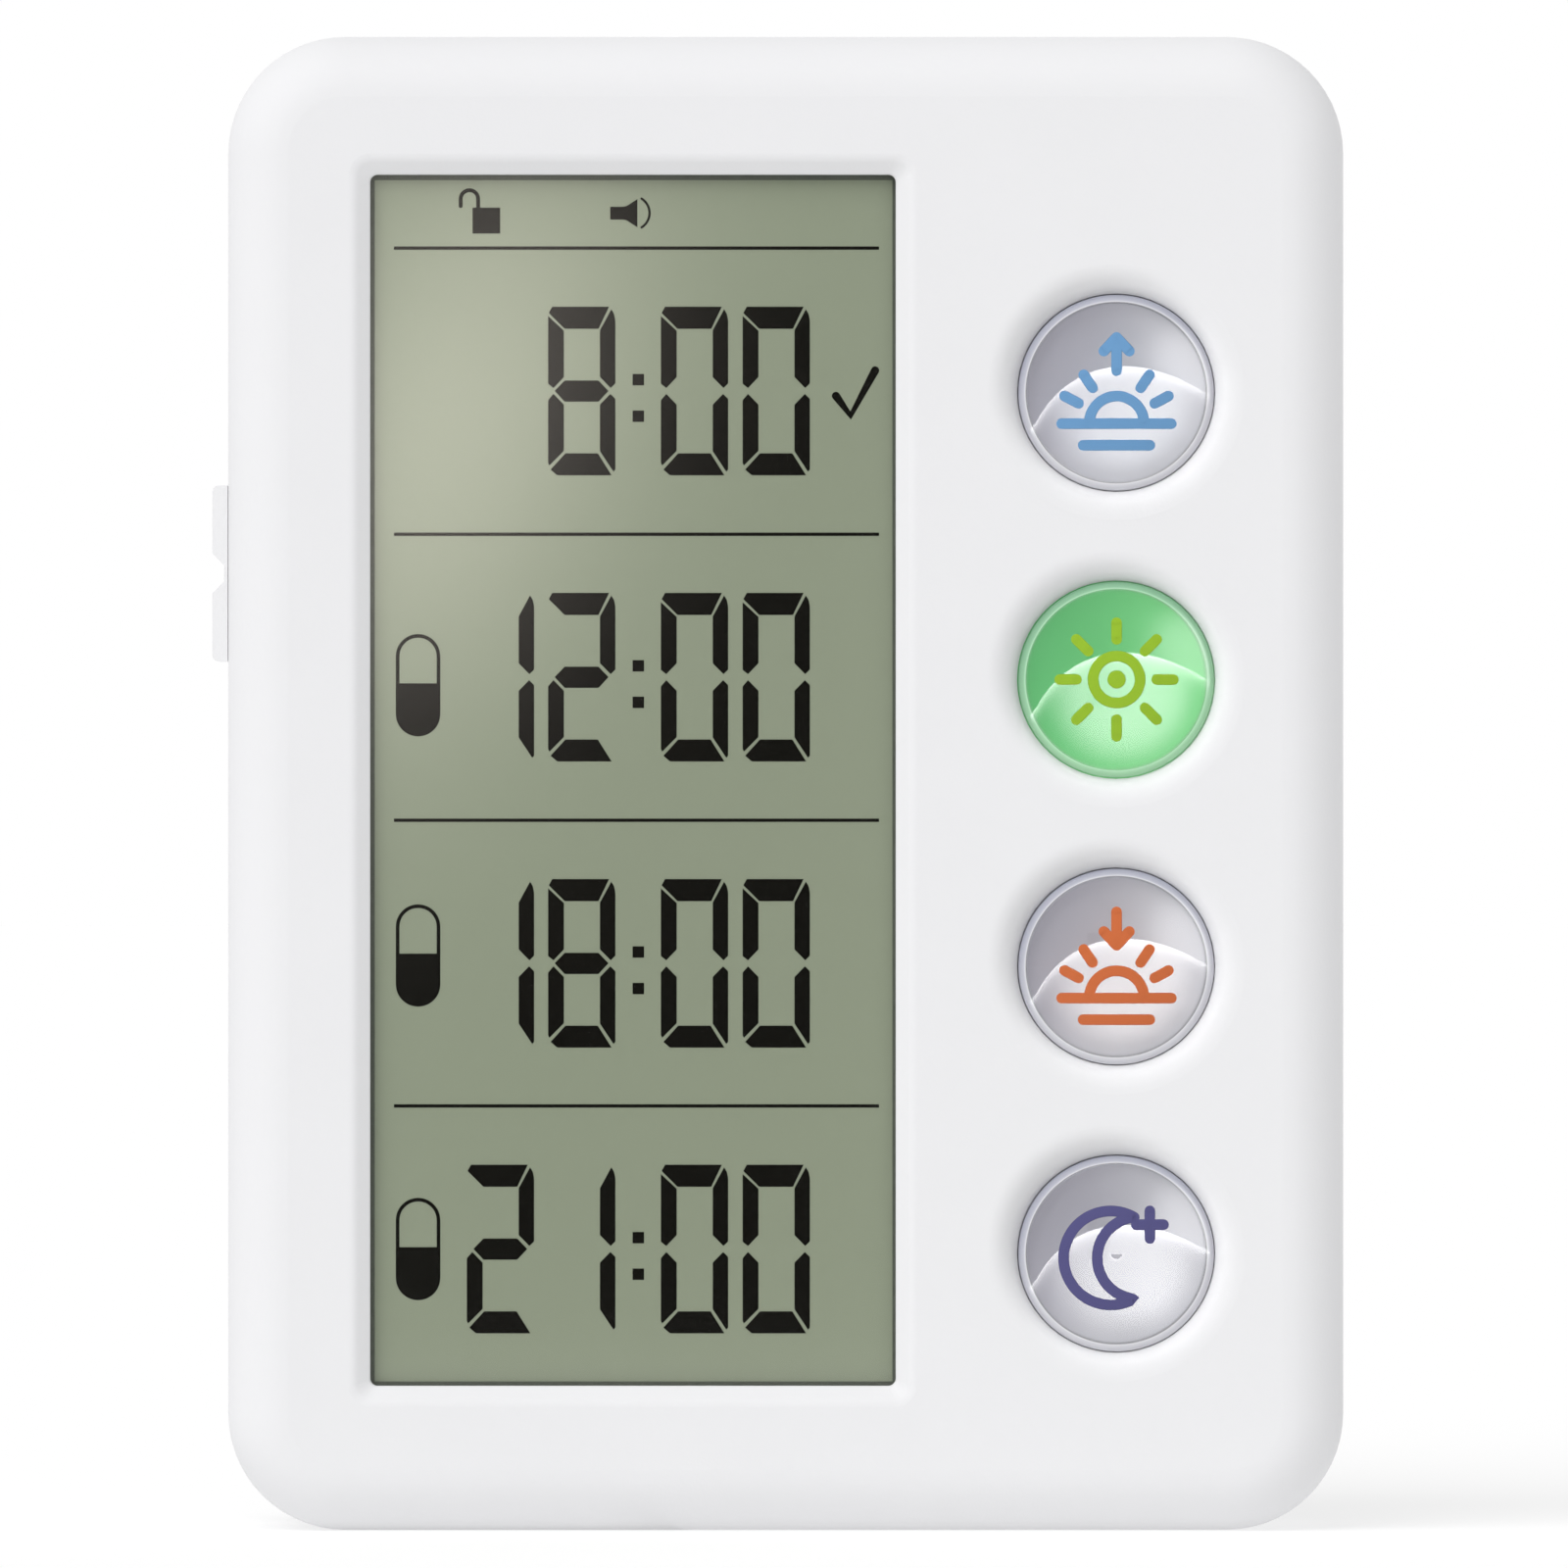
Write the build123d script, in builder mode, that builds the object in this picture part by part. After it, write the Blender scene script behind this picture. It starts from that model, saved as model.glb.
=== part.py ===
from build123d import *

import os
from math import asin, cos, sin

# A medication reminder timer: a white casing in two halves, a tall display with a button
# beside each of its four rows, a lock slider on the left edge, and a rear with a battery
# door, a folding stand, a hanger slot, magnets and three small setting buttons.
# X runs to the right, Z up, and the front faces -Y. The origin is at the bottom centre of
# the casing, on the plane where its halves part. All sizes are in millimetres.

# Casing
casing_width = 90.0
casing_height = 120.5
front_depth = 12.5
rear_depth = 12.5
corner_radius = 9.4
front_fillet = 5.0
rear_fillet = 3.0
wall = 2.0
lip_height = 1.5
lip_width = 0.9
seat_gap = 0.1

# Display opening and what lies behind it
window_left_margin = 11.55
window_top_margin = 11.25
window_bottom_margin = 11.75
window_to_buttons = 17.75
window_corner = 0.6
bevel_width = 1.3
bevel_depth = 1.0
bevel_corner = 1.3
bevel_softness = 1.2
lip_softness = 0.25
window_seat_depth = 0.5
window_sheet = 0.6
glass_margin = 1.5
pane_thickness = 1.1
contact_ledge = 3.0
reflector_thickness = 0.25
frame_wall = 0.6
frame_ledge = 1.5
frame_ledge_thickness = 1.0
frame_corner = 1.0

# Front buttons, one beside each row of the display
row_count = 4
header_height = 5.1
top_row_drop = 17.55
button_margin = 18.4
cap_radius = 7.9
cap_wall = 0.6
dome_wall = 0.9
cap_proud = 0.9
dome_rise = 1.7
cap_rim_radius = 0.6
flange_width = 0.9
flange_thickness = 0.8
stop_gap = 0.05
running_fit = 0.07
dish_radius = 10.3
dish_depth = 1.1
sleeve_wall = 2.0
sleeve_depth = 2.1
button_travel = 0.8
diffuser_thickness = 0.8
diffuser_gap = 0.1
bowl_depth = 1.5
shoulder_height = 1.25
skirt_wall = 1.5
plunger_radius = 2.2

# Circuit board and what stands on it
board_front = -3.6
board_thickness = 1.6
board_side_gap = 4.5
board_bottom_gap = 11.2
board_top_gap = 11.1
board_corner = 2.0
switch_size = 6.0
switch_height = 3.4
stem_radius = 1.75
stem_proud = 1.4
led_length = 3.0
led_width = 1.6
led_height = 0.9
led_offset = 4.7
switch_chamfer = 0.4
chip_chamfer = 0.25
chip_size = 10.0
chip_height = 1.4
chip_x = -10.0
chip_z = 38.0
crystal_radius = 1.0
crystal_length = 6.0

# Screws
screw_radius = 0.98
pilot_radius = 1.0
screw_hole_radius = 1.2
case_screw_side = 7.8
case_screw_inset = 6.8
case_screw_length = 12.0
case_head_radius = 2.1
case_head_height = 1.4
case_post_radius = 3.6
front_post_radius = 2.9
screw_well_depth = 5.5
board_head_radius = 1.9
board_head_height = 1.0
board_post_radius = 2.3
board_screw_length = 6.5
board_screw_inset = 2.5
board_screw_rows = [-0.35, 2.5]

# Lock slider on the left edge
slider_drop = 43.3
slider_length = 14.2
slider_width = 4.0
slider_proud = 1.3
slider_gap = 0.25
slider_travel = 3.0
slider_groove_width = 3.2
slider_groove_floor = 1.3
slider_stem_length = 6.0
slider_stem_width = 2.4
slider_shoe_length = 15.0
slider_shoe_thickness = 1.0
slider_corner = 0.5
lock_knob_length = 1.8
lock_knob_width = 1.6
lock_body_length = 9.0
lock_body_width = 4.5

# Battery well, cells and door
cell_radius = 5.25
cell_length = 44.5
nub_radius = 1.9
nub_height = 0.8
cell_chamfer = 0.4
cell_gap = 0.15
well_drop = 51.0
well_wall = 1.2
spring_room = 5.3
contact_room = 0.6
contact_thickness = 0.4
contact_width = 7.0
spring_bend = 1.0
tail_width = 2.0
door_thickness = 1.5
door_ledge = 1.6
door_corner = 2.0
door_gap = 0.2
hook_inset = 9.8
hook_width = 5.0
hook_thickness = 1.0
hook_reach = 2.0
latch_width = 11.0
latch_length = 8.0
latch_slit = 0.8
latch_catch = 0.4
latch_thickness = 0.8
scoop_radius = 5.5
scoop_depth = 1.2

# Folding stand
stand_side_margin = 25.0
stand_drop = 7.575
stand_foot_z = 5.6
stand_thickness = 2.2
stand_gap = 0.2
stand_side_gap = 0.3
stand_pin_radius = 0.9
stand_pin_length = 1.8
stand_corner = 4.0
pan_wall = 2.5
pan_floor = 1.6
pocket_depth = 1.0
pocket_columns = 3
pocket_rows = 3
pocket_rib = 1.6
finger_notch_width = 14.0
finger_notch_height = 2.6

# Setting buttons and their switches, on the rear
set_drop = 28.3
set_pitch = 13.0
set_radius = 3.0
set_proud = 0.5
set_flange_radius = 4.2
set_flange_thickness = 1.0
set_shaft_radius = 1.5
set_travel = 0.6
set_stem_proud = 0.8
set_chamfer = 0.35

# Hanger slot
hanger_drop = 16.0
hanger_radius = 3.5
hanger_slot_width = 3.6
hanger_slot_rise = 5.0
hanger_pocket_width = 10.0
hanger_pocket_depth = 4.5
hanger_pocket_wall = 1.2

# Magnets
magnet_side = 15.0
magnet_drop = 21.5
magnet_radius = 7.0
magnet_thickness = 2.0
magnet_backing = 1.2

# Sounder
piezo_side = 12.4
piezo_z = 32.0
piezo_radius = 7.5
piezo_thickness = 0.3
ceramic_radius = 5.0
ceramic_thickness = 0.2
piezo_cavity = 0.8
piezo_ring_wall = 1.4
sound_hole_radius = 0.8
sound_ring_radius = 3.2
sound_hole_count = 6
lead_radius = 0.45
lead_bend = 3.0
lead_shift = 3.0
lead_rise = 4.0

# Places that follow from the casing
window_width = casing_width - window_left_margin - window_to_buttons - button_margin
window_height = casing_height - window_top_margin - window_bottom_margin
window_x = (window_left_margin - window_to_buttons - button_margin) / 2
window_z = (casing_height + window_bottom_margin - window_top_margin) / 2
button_x = casing_width / 2 - button_margin
row_pitch = (window_height - header_height) / row_count
top_row_z = casing_height - window_top_margin - top_row_drop
row_zs = [top_row_z - row_pitch * row for row in range(row_count)]
row_names = ["morning", "noon", "evening", "bedtime"]
board_width = casing_width - 2 * board_side_gap
board_bottom = board_bottom_gap
board_top = casing_height - board_top_gap
board_screw_spots = [
    (side * (board_width / 2 - board_screw_inset), top_row_z - row_pitch * rows)
    for side in (-1, 1)
    for rows in board_screw_rows
]
case_screw_spots = [
    (side * (casing_width / 2 - case_screw_side), z)
    for side in (-1, 1)
    for z in (case_screw_inset, casing_height - case_screw_inset)
]
slider_z = casing_height - slider_drop
well_z = casing_height - well_drop
set_z = casing_height - set_drop
hanger_z = casing_height - hanger_drop
magnet_spots = [(side * (casing_width / 2 - magnet_side), casing_height - magnet_drop) for side in (-1, 1)]
piezo_x = casing_width / 2 - piezo_side
stand_width = casing_width - 2 * stand_side_margin

# Depths that several pieces share
front_face = -front_depth
front_inner = front_face + wall
rear_face = rear_depth
rear_inner = rear_face - wall
board_rear = board_front + board_thickness
switch_face = board_front - switch_height
stem_face = switch_face - stem_proud
sleeve_end = front_inner + sleeve_depth
window_seat = front_inner - window_seat_depth
glass_width = window_width + 2 * glass_margin
glass_height = window_height + 2 * glass_margin


def upright(y):
    """The plane at depth y as the front sees it: its own x is X and its own y is Z."""
    return Plane.XZ.offset(-y)


def turning(x, z):
    """The plane for a turned profile about the line through (x, z) along Y: radius, then Y."""
    return Plane(origin=(x, 0, z), x_dir=(1, 0, 0), z_dir=(0, 0, 1))


def line_along_y(x, z):
    return Axis((x, 0, z), (0, 1, 0))


def casing_outline(inset):
    """The casing's outline drawn in by inset, in a sketch on an upright plane."""
    with Locations((0, casing_height / 2)):
        RectangleRounded(casing_width - 2 * inset, casing_height - 2 * inset, corner_radius - inset)


def dome_arc(radius, top, rise):
    """Half of a shallow dome in a turned profile, from its middle to its edge, rise deeper."""
    sphere = (radius**2 + rise**2) / (2 * rise)
    half_turn = asin(radius / sphere) / 2
    middle = (sphere * sin(half_turn), top + sphere * (1 - cos(half_turn)))
    return ThreePointArc((0, top), middle, (radius, top + rise))


def save(piece, name):
    piece.part.label = name
    export_step(piece.part, f"parts/{name}.step")


os.makedirs("parts", exist_ok=True)

# Front casing
hole_radius = cap_radius + running_fit
slot_length = slider_stem_length + slider_travel + 2 * seat_gap
slider_y = board_front - switch_height / 2
side_face = -casing_width / 2
side_inner = side_face + wall

with BuildPart() as front_casing:
    with BuildSketch(upright(0)):
        casing_outline(0)
    extrude(amount=front_depth)
    fillet(front_casing.faces().sort_by(Axis.Y)[0].edges(), front_fillet)
    offset(amount=-wall, openings=front_casing.faces().sort_by(Axis.Y)[-1])
    # The rebate that takes the rear casing's lip
    with BuildSketch(upright(0)):
        casing_outline(wall - lip_width - seat_gap)
    extrude(amount=lip_height + seat_gap, mode=Mode.SUBTRACT)
    # Guide sleeves of the four caps, and the posts for both sets of screws
    with BuildSketch(upright(sleeve_end)):
        with Locations([(button_x, z) for z in row_zs]):
            Circle(hole_radius + sleeve_wall)
    extrude(amount=sleeve_depth)
    with BuildSketch(upright(board_front)):
        with Locations(board_screw_spots):
            Circle(board_post_radius)
    extrude(amount=board_front - front_inner)
    with BuildSketch(upright(0)):
        with Locations(case_screw_spots):
            Circle(front_post_radius)
    extrude(amount=-front_inner)
    with BuildSketch(upright(board_front)):
        with Locations(board_screw_spots):
            Circle(pilot_radius)
    extrude(amount=board_screw_length - board_thickness + seat_gap, mode=Mode.SUBTRACT)
    with BuildSketch(upright(0)):
        with Locations(case_screw_spots):
            Circle(pilot_radius)
    extrude(amount=-front_inner, mode=Mode.SUBTRACT)
    # Window, with a seat for its sheet on the inside and a sloped rim
    with BuildSketch(upright(window_seat)):
        with Locations((window_x, window_z)):
            Rectangle(glass_width + 2 * seat_gap, glass_height + 2 * seat_gap)
    extrude(amount=-window_seat_depth, mode=Mode.SUBTRACT)
    with BuildSketch(upright(front_face)):
        with Locations((window_x, window_z)):
            RectangleRounded(window_width, window_height, window_corner)
    extrude(amount=-wall, mode=Mode.SUBTRACT)
    with BuildSketch(upright(front_face)):
        with Locations((window_x, window_z)):
            RectangleRounded(window_width + 2 * bevel_width, window_height + 2 * bevel_width, bevel_corner)
    with BuildSketch(upright(front_face + bevel_depth)):
        with Locations((window_x, window_z)):
            RectangleRounded(window_width, window_height, window_corner)
    loft(ruled=True, mode=Mode.SUBTRACT)
    rim = front_casing.faces().sort_by(Axis.Y)[0].inner_wires()[0]
    fillet(rim.edges(), bevel_softness)
    lip_y = front_face + bevel_depth
    fillet(front_casing.edges().filter_by_position(Axis.Y, lip_y, lip_y), lip_softness)
    # Cap holes, each in a dished well
    with BuildSketch(upright(front_face)):
        with Locations([(button_x, z) for z in row_zs]):
            Circle(hole_radius)
    extrude(amount=-(sleeve_end - front_face), mode=Mode.SUBTRACT)
    for z in row_zs:
        with BuildSketch(turning(button_x, z)):
            with BuildLine():
                slope = TangentArc(
                    (dish_radius, front_face), (hole_radius, front_face + dish_depth), tangent=(-1, 0)
                )
                Polyline(slope @ 1, (0, front_face + dish_depth), (0, front_face), slope @ 0)
            make_face()
        revolve(axis=line_along_y(button_x, z), mode=Mode.SUBTRACT)
    # Slot of the lock slider, through the left wall
    with BuildSketch(Plane.YZ.offset(side_face)):
        with Locations((slider_y, slider_z - slider_travel / 2)):
            Rectangle(slider_stem_width + 2 * seat_gap, slot_length)
    extrude(amount=wall, mode=Mode.SUBTRACT)
save(front_casing, "front_casing")

# Display: window sheet, two panes, reflector, frame and contact strips
sheet_front = window_seat + seat_gap / 2
sheet_rear = sheet_front + window_sheet
glass_front = sheet_rear + seat_gap
pane_joint = glass_front + pane_thickness
glass_rear = pane_joint + pane_thickness
reflector_front = glass_rear + seat_gap / 2
reflector_rear = reflector_front + reflector_thickness
ledge_front = reflector_rear + seat_gap / 2
contact_zs = [window_z + side * (glass_height - contact_ledge) / 2 for side in (-1, 1)]


def display_plate(name, front, rear, width, height):
    """A flat plate of the display, cut square and centred on the window."""
    with BuildPart() as plate:
        with BuildSketch(upright(rear)):
            with Locations((window_x, window_z)):
                Rectangle(width, height)
        extrude(amount=rear - front)
    save(plate, name)


display_plate("lcd_window", sheet_front, sheet_rear, glass_width, glass_height)
display_plate("lcd_reflector", reflector_front, reflector_rear, glass_width, glass_height - 2 * contact_ledge)

with BuildPart() as lcd_glass:
    with BuildSketch(upright(pane_joint)):
        with Locations((window_x, window_z)):
            Rectangle(glass_width, glass_height)
    extrude(amount=pane_thickness)
    with BuildSketch(upright(glass_rear)):
        with Locations((window_x, window_z)):
            Rectangle(glass_width, glass_height - 2 * contact_ledge)
    extrude(amount=pane_thickness)
save(lcd_glass, "lcd_glass")

with BuildPart() as lcd_frame:
    with BuildSketch(upright(board_front)):
        with Locations((window_x, window_z)):
            RectangleRounded(
                glass_width + 2 * (seat_gap + frame_wall),
                glass_height + 2 * (seat_gap + frame_wall),
                frame_corner,
            )
    extrude(amount=board_front - glass_front)
    with BuildSketch(upright(ledge_front)):
        with Locations((window_x, window_z)):
            Rectangle(glass_width + 2 * seat_gap, glass_height + 2 * seat_gap)
    extrude(amount=ledge_front - glass_front, mode=Mode.SUBTRACT)
    with BuildSketch(upright(ledge_front)):
        with Locations((window_x, window_z)):
            Rectangle(glass_width - 2 * frame_ledge, glass_height - 2 * (contact_ledge + frame_ledge))
    extrude(amount=ledge_front - board_front, mode=Mode.SUBTRACT)
    # Hollow below the ledge, and the slots of the two contact strips
    with BuildSketch(upright(ledge_front + frame_ledge_thickness)):
        with Locations((window_x, window_z)):
            Rectangle(glass_width + 2 * seat_gap, glass_height - 2 * contact_ledge)
    extrude(amount=ledge_front + frame_ledge_thickness - board_front, mode=Mode.SUBTRACT)
    with BuildSketch(upright(ledge_front)):
        with Locations([(window_x, z) for z in contact_zs]):
            Rectangle(glass_width - 2 * frame_ledge, contact_ledge - 4 * seat_gap)
    extrude(amount=ledge_front - board_front, mode=Mode.SUBTRACT)
save(lcd_frame, "lcd_frame")

with BuildPart() as zebra_strips:
    with BuildSketch(upright(board_front)):
        with Locations([(window_x, z) for z in contact_zs]):
            Rectangle(glass_width - 2 * frame_ledge - 2 * seat_gap, contact_ledge - 6 * seat_gap)
    extrude(amount=board_front - pane_joint)
save(zebra_strips, "zebra_strips")

# Circuit board, with what is soldered and screwed to it
set_xs = [set_pitch * step for step in (-1, 0, 1)]
set_names = ["back", "set", "forward"]

with BuildPart() as circuit_board:
    with BuildSketch(upright(board_rear)):
        with Locations((0, (board_bottom + board_top) / 2)):
            RectangleRounded(board_width, board_top - board_bottom, board_corner)
        with Locations(board_screw_spots):
            Circle(screw_hole_radius, mode=Mode.SUBTRACT)
    extrude(amount=board_thickness)
save(circuit_board, "circuit_board")

with BuildPart() as board_screws:
    with BuildSketch(upright(board_rear)):
        with Locations(board_screw_spots):
            Circle(board_head_radius)
    extrude(amount=-board_head_height)
    with BuildSketch(upright(board_rear)):
        with Locations(board_screw_spots):
            Circle(screw_radius)
    extrude(amount=board_screw_length)
save(board_screws, "board_screws")

with BuildPart() as button_switches:
    with BuildSketch(upright(board_front)):
        with Locations([(button_x, z) for z in row_zs]):
            Rectangle(switch_size, switch_size)
    extrude(amount=switch_height)
    chamfer(button_switches.edges().filter_by(Axis.Y), switch_chamfer)
    with BuildSketch(upright(board_front - seat_gap)):
        with Locations([(button_x, z) for z in row_zs]):
            Circle(stem_radius + running_fit)
    extrude(amount=switch_height, mode=Mode.SUBTRACT)
save(button_switches, "button_switches")

with BuildPart() as rear_switches:
    with BuildSketch(upright(board_rear)):
        with Locations([(x, set_z) for x in set_xs]):
            Rectangle(switch_size, switch_size)
    extrude(amount=-switch_height)
    chamfer(rear_switches.edges().filter_by(Axis.Y), switch_chamfer)
    with BuildSketch(upright(board_rear + seat_gap)):
        with Locations([(x, set_z) for x in set_xs]):
            Circle(stem_radius + running_fit)
    extrude(amount=-switch_height, mode=Mode.SUBTRACT)
save(rear_switches, "rear_switches")

with BuildPart() as button_leds:
    with BuildSketch(upright(board_front)):
        with Locations([(button_x + side * led_offset, z) for z in row_zs for side in (-1, 1)]):
            Rectangle(led_width, led_length)
    extrude(amount=led_height)
save(button_leds, "button_leds")

with BuildPart() as controller_chip:
    with BuildSketch(upright(board_rear)):
        with Locations((chip_x, chip_z)):
            Rectangle(chip_size, chip_size)
    extrude(amount=-chip_height)
    chamfer(controller_chip.faces().sort_by(Axis.Y)[-1].edges(), chip_chamfer)
save(controller_chip, "controller_chip")

with BuildPart() as crystal_can:
    with BuildSketch(Plane.XY.offset(chip_z - crystal_length / 2)):
        with Locations((chip_x + chip_size / 2 + 3 * crystal_radius, board_rear + crystal_radius)):
            Circle(crystal_radius)
    extrude(amount=crystal_length)
    chamfer(crystal_can.edges().group_by(Axis.Z)[-1], crystal_radius / 4)
save(crystal_can, "crystal_can")

# Front buttons: a clear domed cap on the shoulder of a white bowl, whose flange holds the
# button in its sleeve and whose plunger meets the switch stem
cap_top = front_face - cap_proud
dome_edge = cap_top + dome_rise
flange_front = sleeve_end + stop_gap
flange_rear = flange_front + flange_thickness
shoulder_front = flange_front - shoulder_height
inner_radius = cap_radius - cap_wall
inner_rise = dome_rise * (inner_radius / cap_radius) ** 2
inner_top = cap_top + dome_wall
bowl_radius = inner_radius - diffuser_gap
bowl_rim = inner_top + inner_rise + diffuser_gap
bowl_rear = bowl_rim + bowl_depth + diffuser_thickness
stem_bottom = board_front - button_travel - seat_gap

for name, z in zip(row_names, row_zs):
    axle = line_along_y(button_x, z)
    with BuildPart() as cap:
        with BuildSketch(turning(button_x, z)) as cap_profile:
            with BuildLine():
                outside = dome_arc(cap_radius, cap_top, dome_rise)
                inside = dome_arc(inner_radius, inner_top, inner_rise)
                Polyline(
                    outside @ 1,
                    (cap_radius, shoulder_front - seat_gap / 2),
                    (inner_radius, shoulder_front - seat_gap / 2),
                    inside @ 1,
                )
                Line(inside @ 0, outside @ 0)
            make_face()
            fillet(cap_profile.vertices().sort_by_distance((cap_radius, dome_edge))[0], cap_rim_radius)
        revolve(axis=axle)
    save(cap, f"{name}_cap")

    with BuildPart() as diffuser:
        with BuildSketch(turning(button_x, z)):
            with BuildLine():
                bowl = dome_arc(bowl_radius, bowl_rim + bowl_depth, -bowl_depth)
                Polyline(
                    bowl @ 1,
                    (bowl_radius, shoulder_front),
                    (cap_radius, shoulder_front),
                    (cap_radius, flange_front),
                    (cap_radius + flange_width, flange_front),
                    (cap_radius + flange_width, flange_rear),
                    (cap_radius - skirt_wall, flange_rear),
                    (cap_radius - skirt_wall, bowl_rear),
                    (plunger_radius, bowl_rear),
                    (plunger_radius, stem_face),
                    (0, stem_face),
                    bowl @ 0,
                )
            make_face()
        revolve(axis=axle)
    save(diffuser, f"{name}_diffuser")

    with BuildPart() as switch_stem:
        with BuildSketch(upright(stem_bottom)):
            with Locations((button_x, z)):
                Circle(stem_radius)
        extrude(amount=stem_bottom - stem_face)
    save(switch_stem, f"{name}_switch_stem")

# Lock slider, seen from the front: two grips with a groove between, a stem through the
# wall and a shoe behind it, which carries the lock switch's knob along
grip_outer = side_face - slider_proud
grip_inner = side_face - slider_gap
shoe_outer = side_inner + seat_gap
shoe_inner = shoe_outer + slider_shoe_thickness
knob_end = shoe_inner - slider_shoe_thickness / 2
lock_body_left = -board_width / 2
lock_body_right = lock_body_left + lock_body_width

with BuildPart() as lock_slider:
    with BuildSketch(upright(slider_y + slider_width / 2)) as grips:
        with Locations(((grip_outer + grip_inner) / 2, slider_z)):
            Rectangle(grip_inner - grip_outer, slider_length)
        fillet(grips.vertices().group_by(Axis.X)[0], slider_corner)
    extrude(amount=slider_width)
    with BuildSketch(upright(slider_y + slider_stem_width / 2)):
        with Locations(((grip_outer + shoe_inner) / 2, slider_z)):
            Rectangle(shoe_inner - grip_outer, slider_stem_length)
    extrude(amount=slider_stem_width)
    with BuildSketch(upright(slider_y + slider_width / 2)):
        with Locations(((shoe_outer + shoe_inner) / 2, slider_z)):
            Rectangle(slider_shoe_thickness, slider_shoe_length)
    extrude(amount=slider_width)
    with BuildSketch(upright(slider_y + slider_width / 2)):
        with BuildLine():
            Polyline(
                (grip_outer, slider_z + slider_groove_width / 2),
                (grip_inner - seat_gap, slider_z + slider_groove_floor / 2),
                (grip_inner - seat_gap, slider_z - slider_groove_floor / 2),
                (grip_outer, slider_z - slider_groove_width / 2),
                close=True,
            )
        make_face()
    extrude(amount=slider_width, mode=Mode.SUBTRACT)
    # Pocket in the shoe for the end of the switch knob
    with BuildSketch(Plane.YZ.offset(knob_end - seat_gap)):
        with Locations((slider_y, slider_z)):
            Rectangle(lock_knob_width + 2 * seat_gap, lock_knob_length + 2 * seat_gap)
    extrude(amount=slider_shoe_thickness, mode=Mode.SUBTRACT)
save(lock_slider, "lock_slider")

with BuildPart() as lock_switch_knob:
    with BuildSketch(Plane.YZ.offset(knob_end)):
        with Locations((slider_y, slider_z)):
            Rectangle(lock_knob_width, lock_knob_length)
    extrude(amount=lock_body_left + lock_body_width / 2 - knob_end)
save(lock_switch_knob, "lock_switch_knob")

with BuildPart() as lock_switch_body:
    with BuildSketch(upright(board_front)):
        with Locations(((lock_body_left + lock_body_right) / 2, slider_z - slider_travel / 2)):
            Rectangle(lock_body_width, lock_body_length)
    extrude(amount=switch_height)
    with BuildSketch(Plane.YZ.offset(lock_body_left)):
        with Locations((slider_y, slider_z - slider_travel / 2)):
            Rectangle(lock_knob_width + 2 * seat_gap, lock_knob_length + slider_travel + 2 * seat_gap)
    extrude(amount=lock_body_width / 2 + seat_gap, mode=Mode.SUBTRACT)
save(lock_switch_body, "lock_switch_body")

# Rear casing
cell_y = rear_face - door_thickness - cell_gap - cell_radius
well_floor = cell_y - cell_radius - cell_gap
well_width = cell_length + spring_room + contact_room
well_height = 4 * cell_radius + 3 * cell_gap
well_front = well_floor - well_wall
well_side = well_width / 2
cell_zs = [well_z + side * (cell_radius + cell_gap / 2) for side in (-1, 1)]
tail_x = well_side - contact_thickness / 2 - seat_gap
door_width = well_width + 2 * door_ledge
door_height = well_height + 2 * door_ledge
door_inner = rear_face - door_thickness
door_seat = door_inner - door_gap / 4
door_bottom = well_z - door_height / 2
door_top = well_z + door_height / 2
hook_offset = door_width / 2 - hook_inset
latch_rear = rear_inner - seat_gap
latch_front = latch_rear - latch_thickness

stand_hinge_z = door_bottom - stand_drop
stand_outer = rear_face - stand_gap
stand_inner = stand_outer - stand_thickness
stand_y = (stand_outer + stand_inner) / 2
stand_round = stand_thickness / 2
pan_face = stand_inner - stand_gap
recess_top = stand_hinge_z + stand_round + stand_gap
recess_bottom = stand_foot_z - stand_gap
recess_z = (recess_top + recess_bottom) / 2
recess_width = stand_width + 2 * stand_side_gap
recess_height = recess_top - recess_bottom
pin_reach = recess_width / 2 + stand_pin_length + seat_gap

screw_seat = rear_face - screw_well_depth
pocket_front = rear_inner - hanger_pocket_depth
pocket_top = hanger_z + hanger_slot_rise + hanger_radius
pocket_bottom = hanger_z - hanger_radius - seat_gap
magnet_floor = rear_face - magnet_thickness - seat_gap
piezo_seat = rear_inner - piezo_cavity

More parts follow.
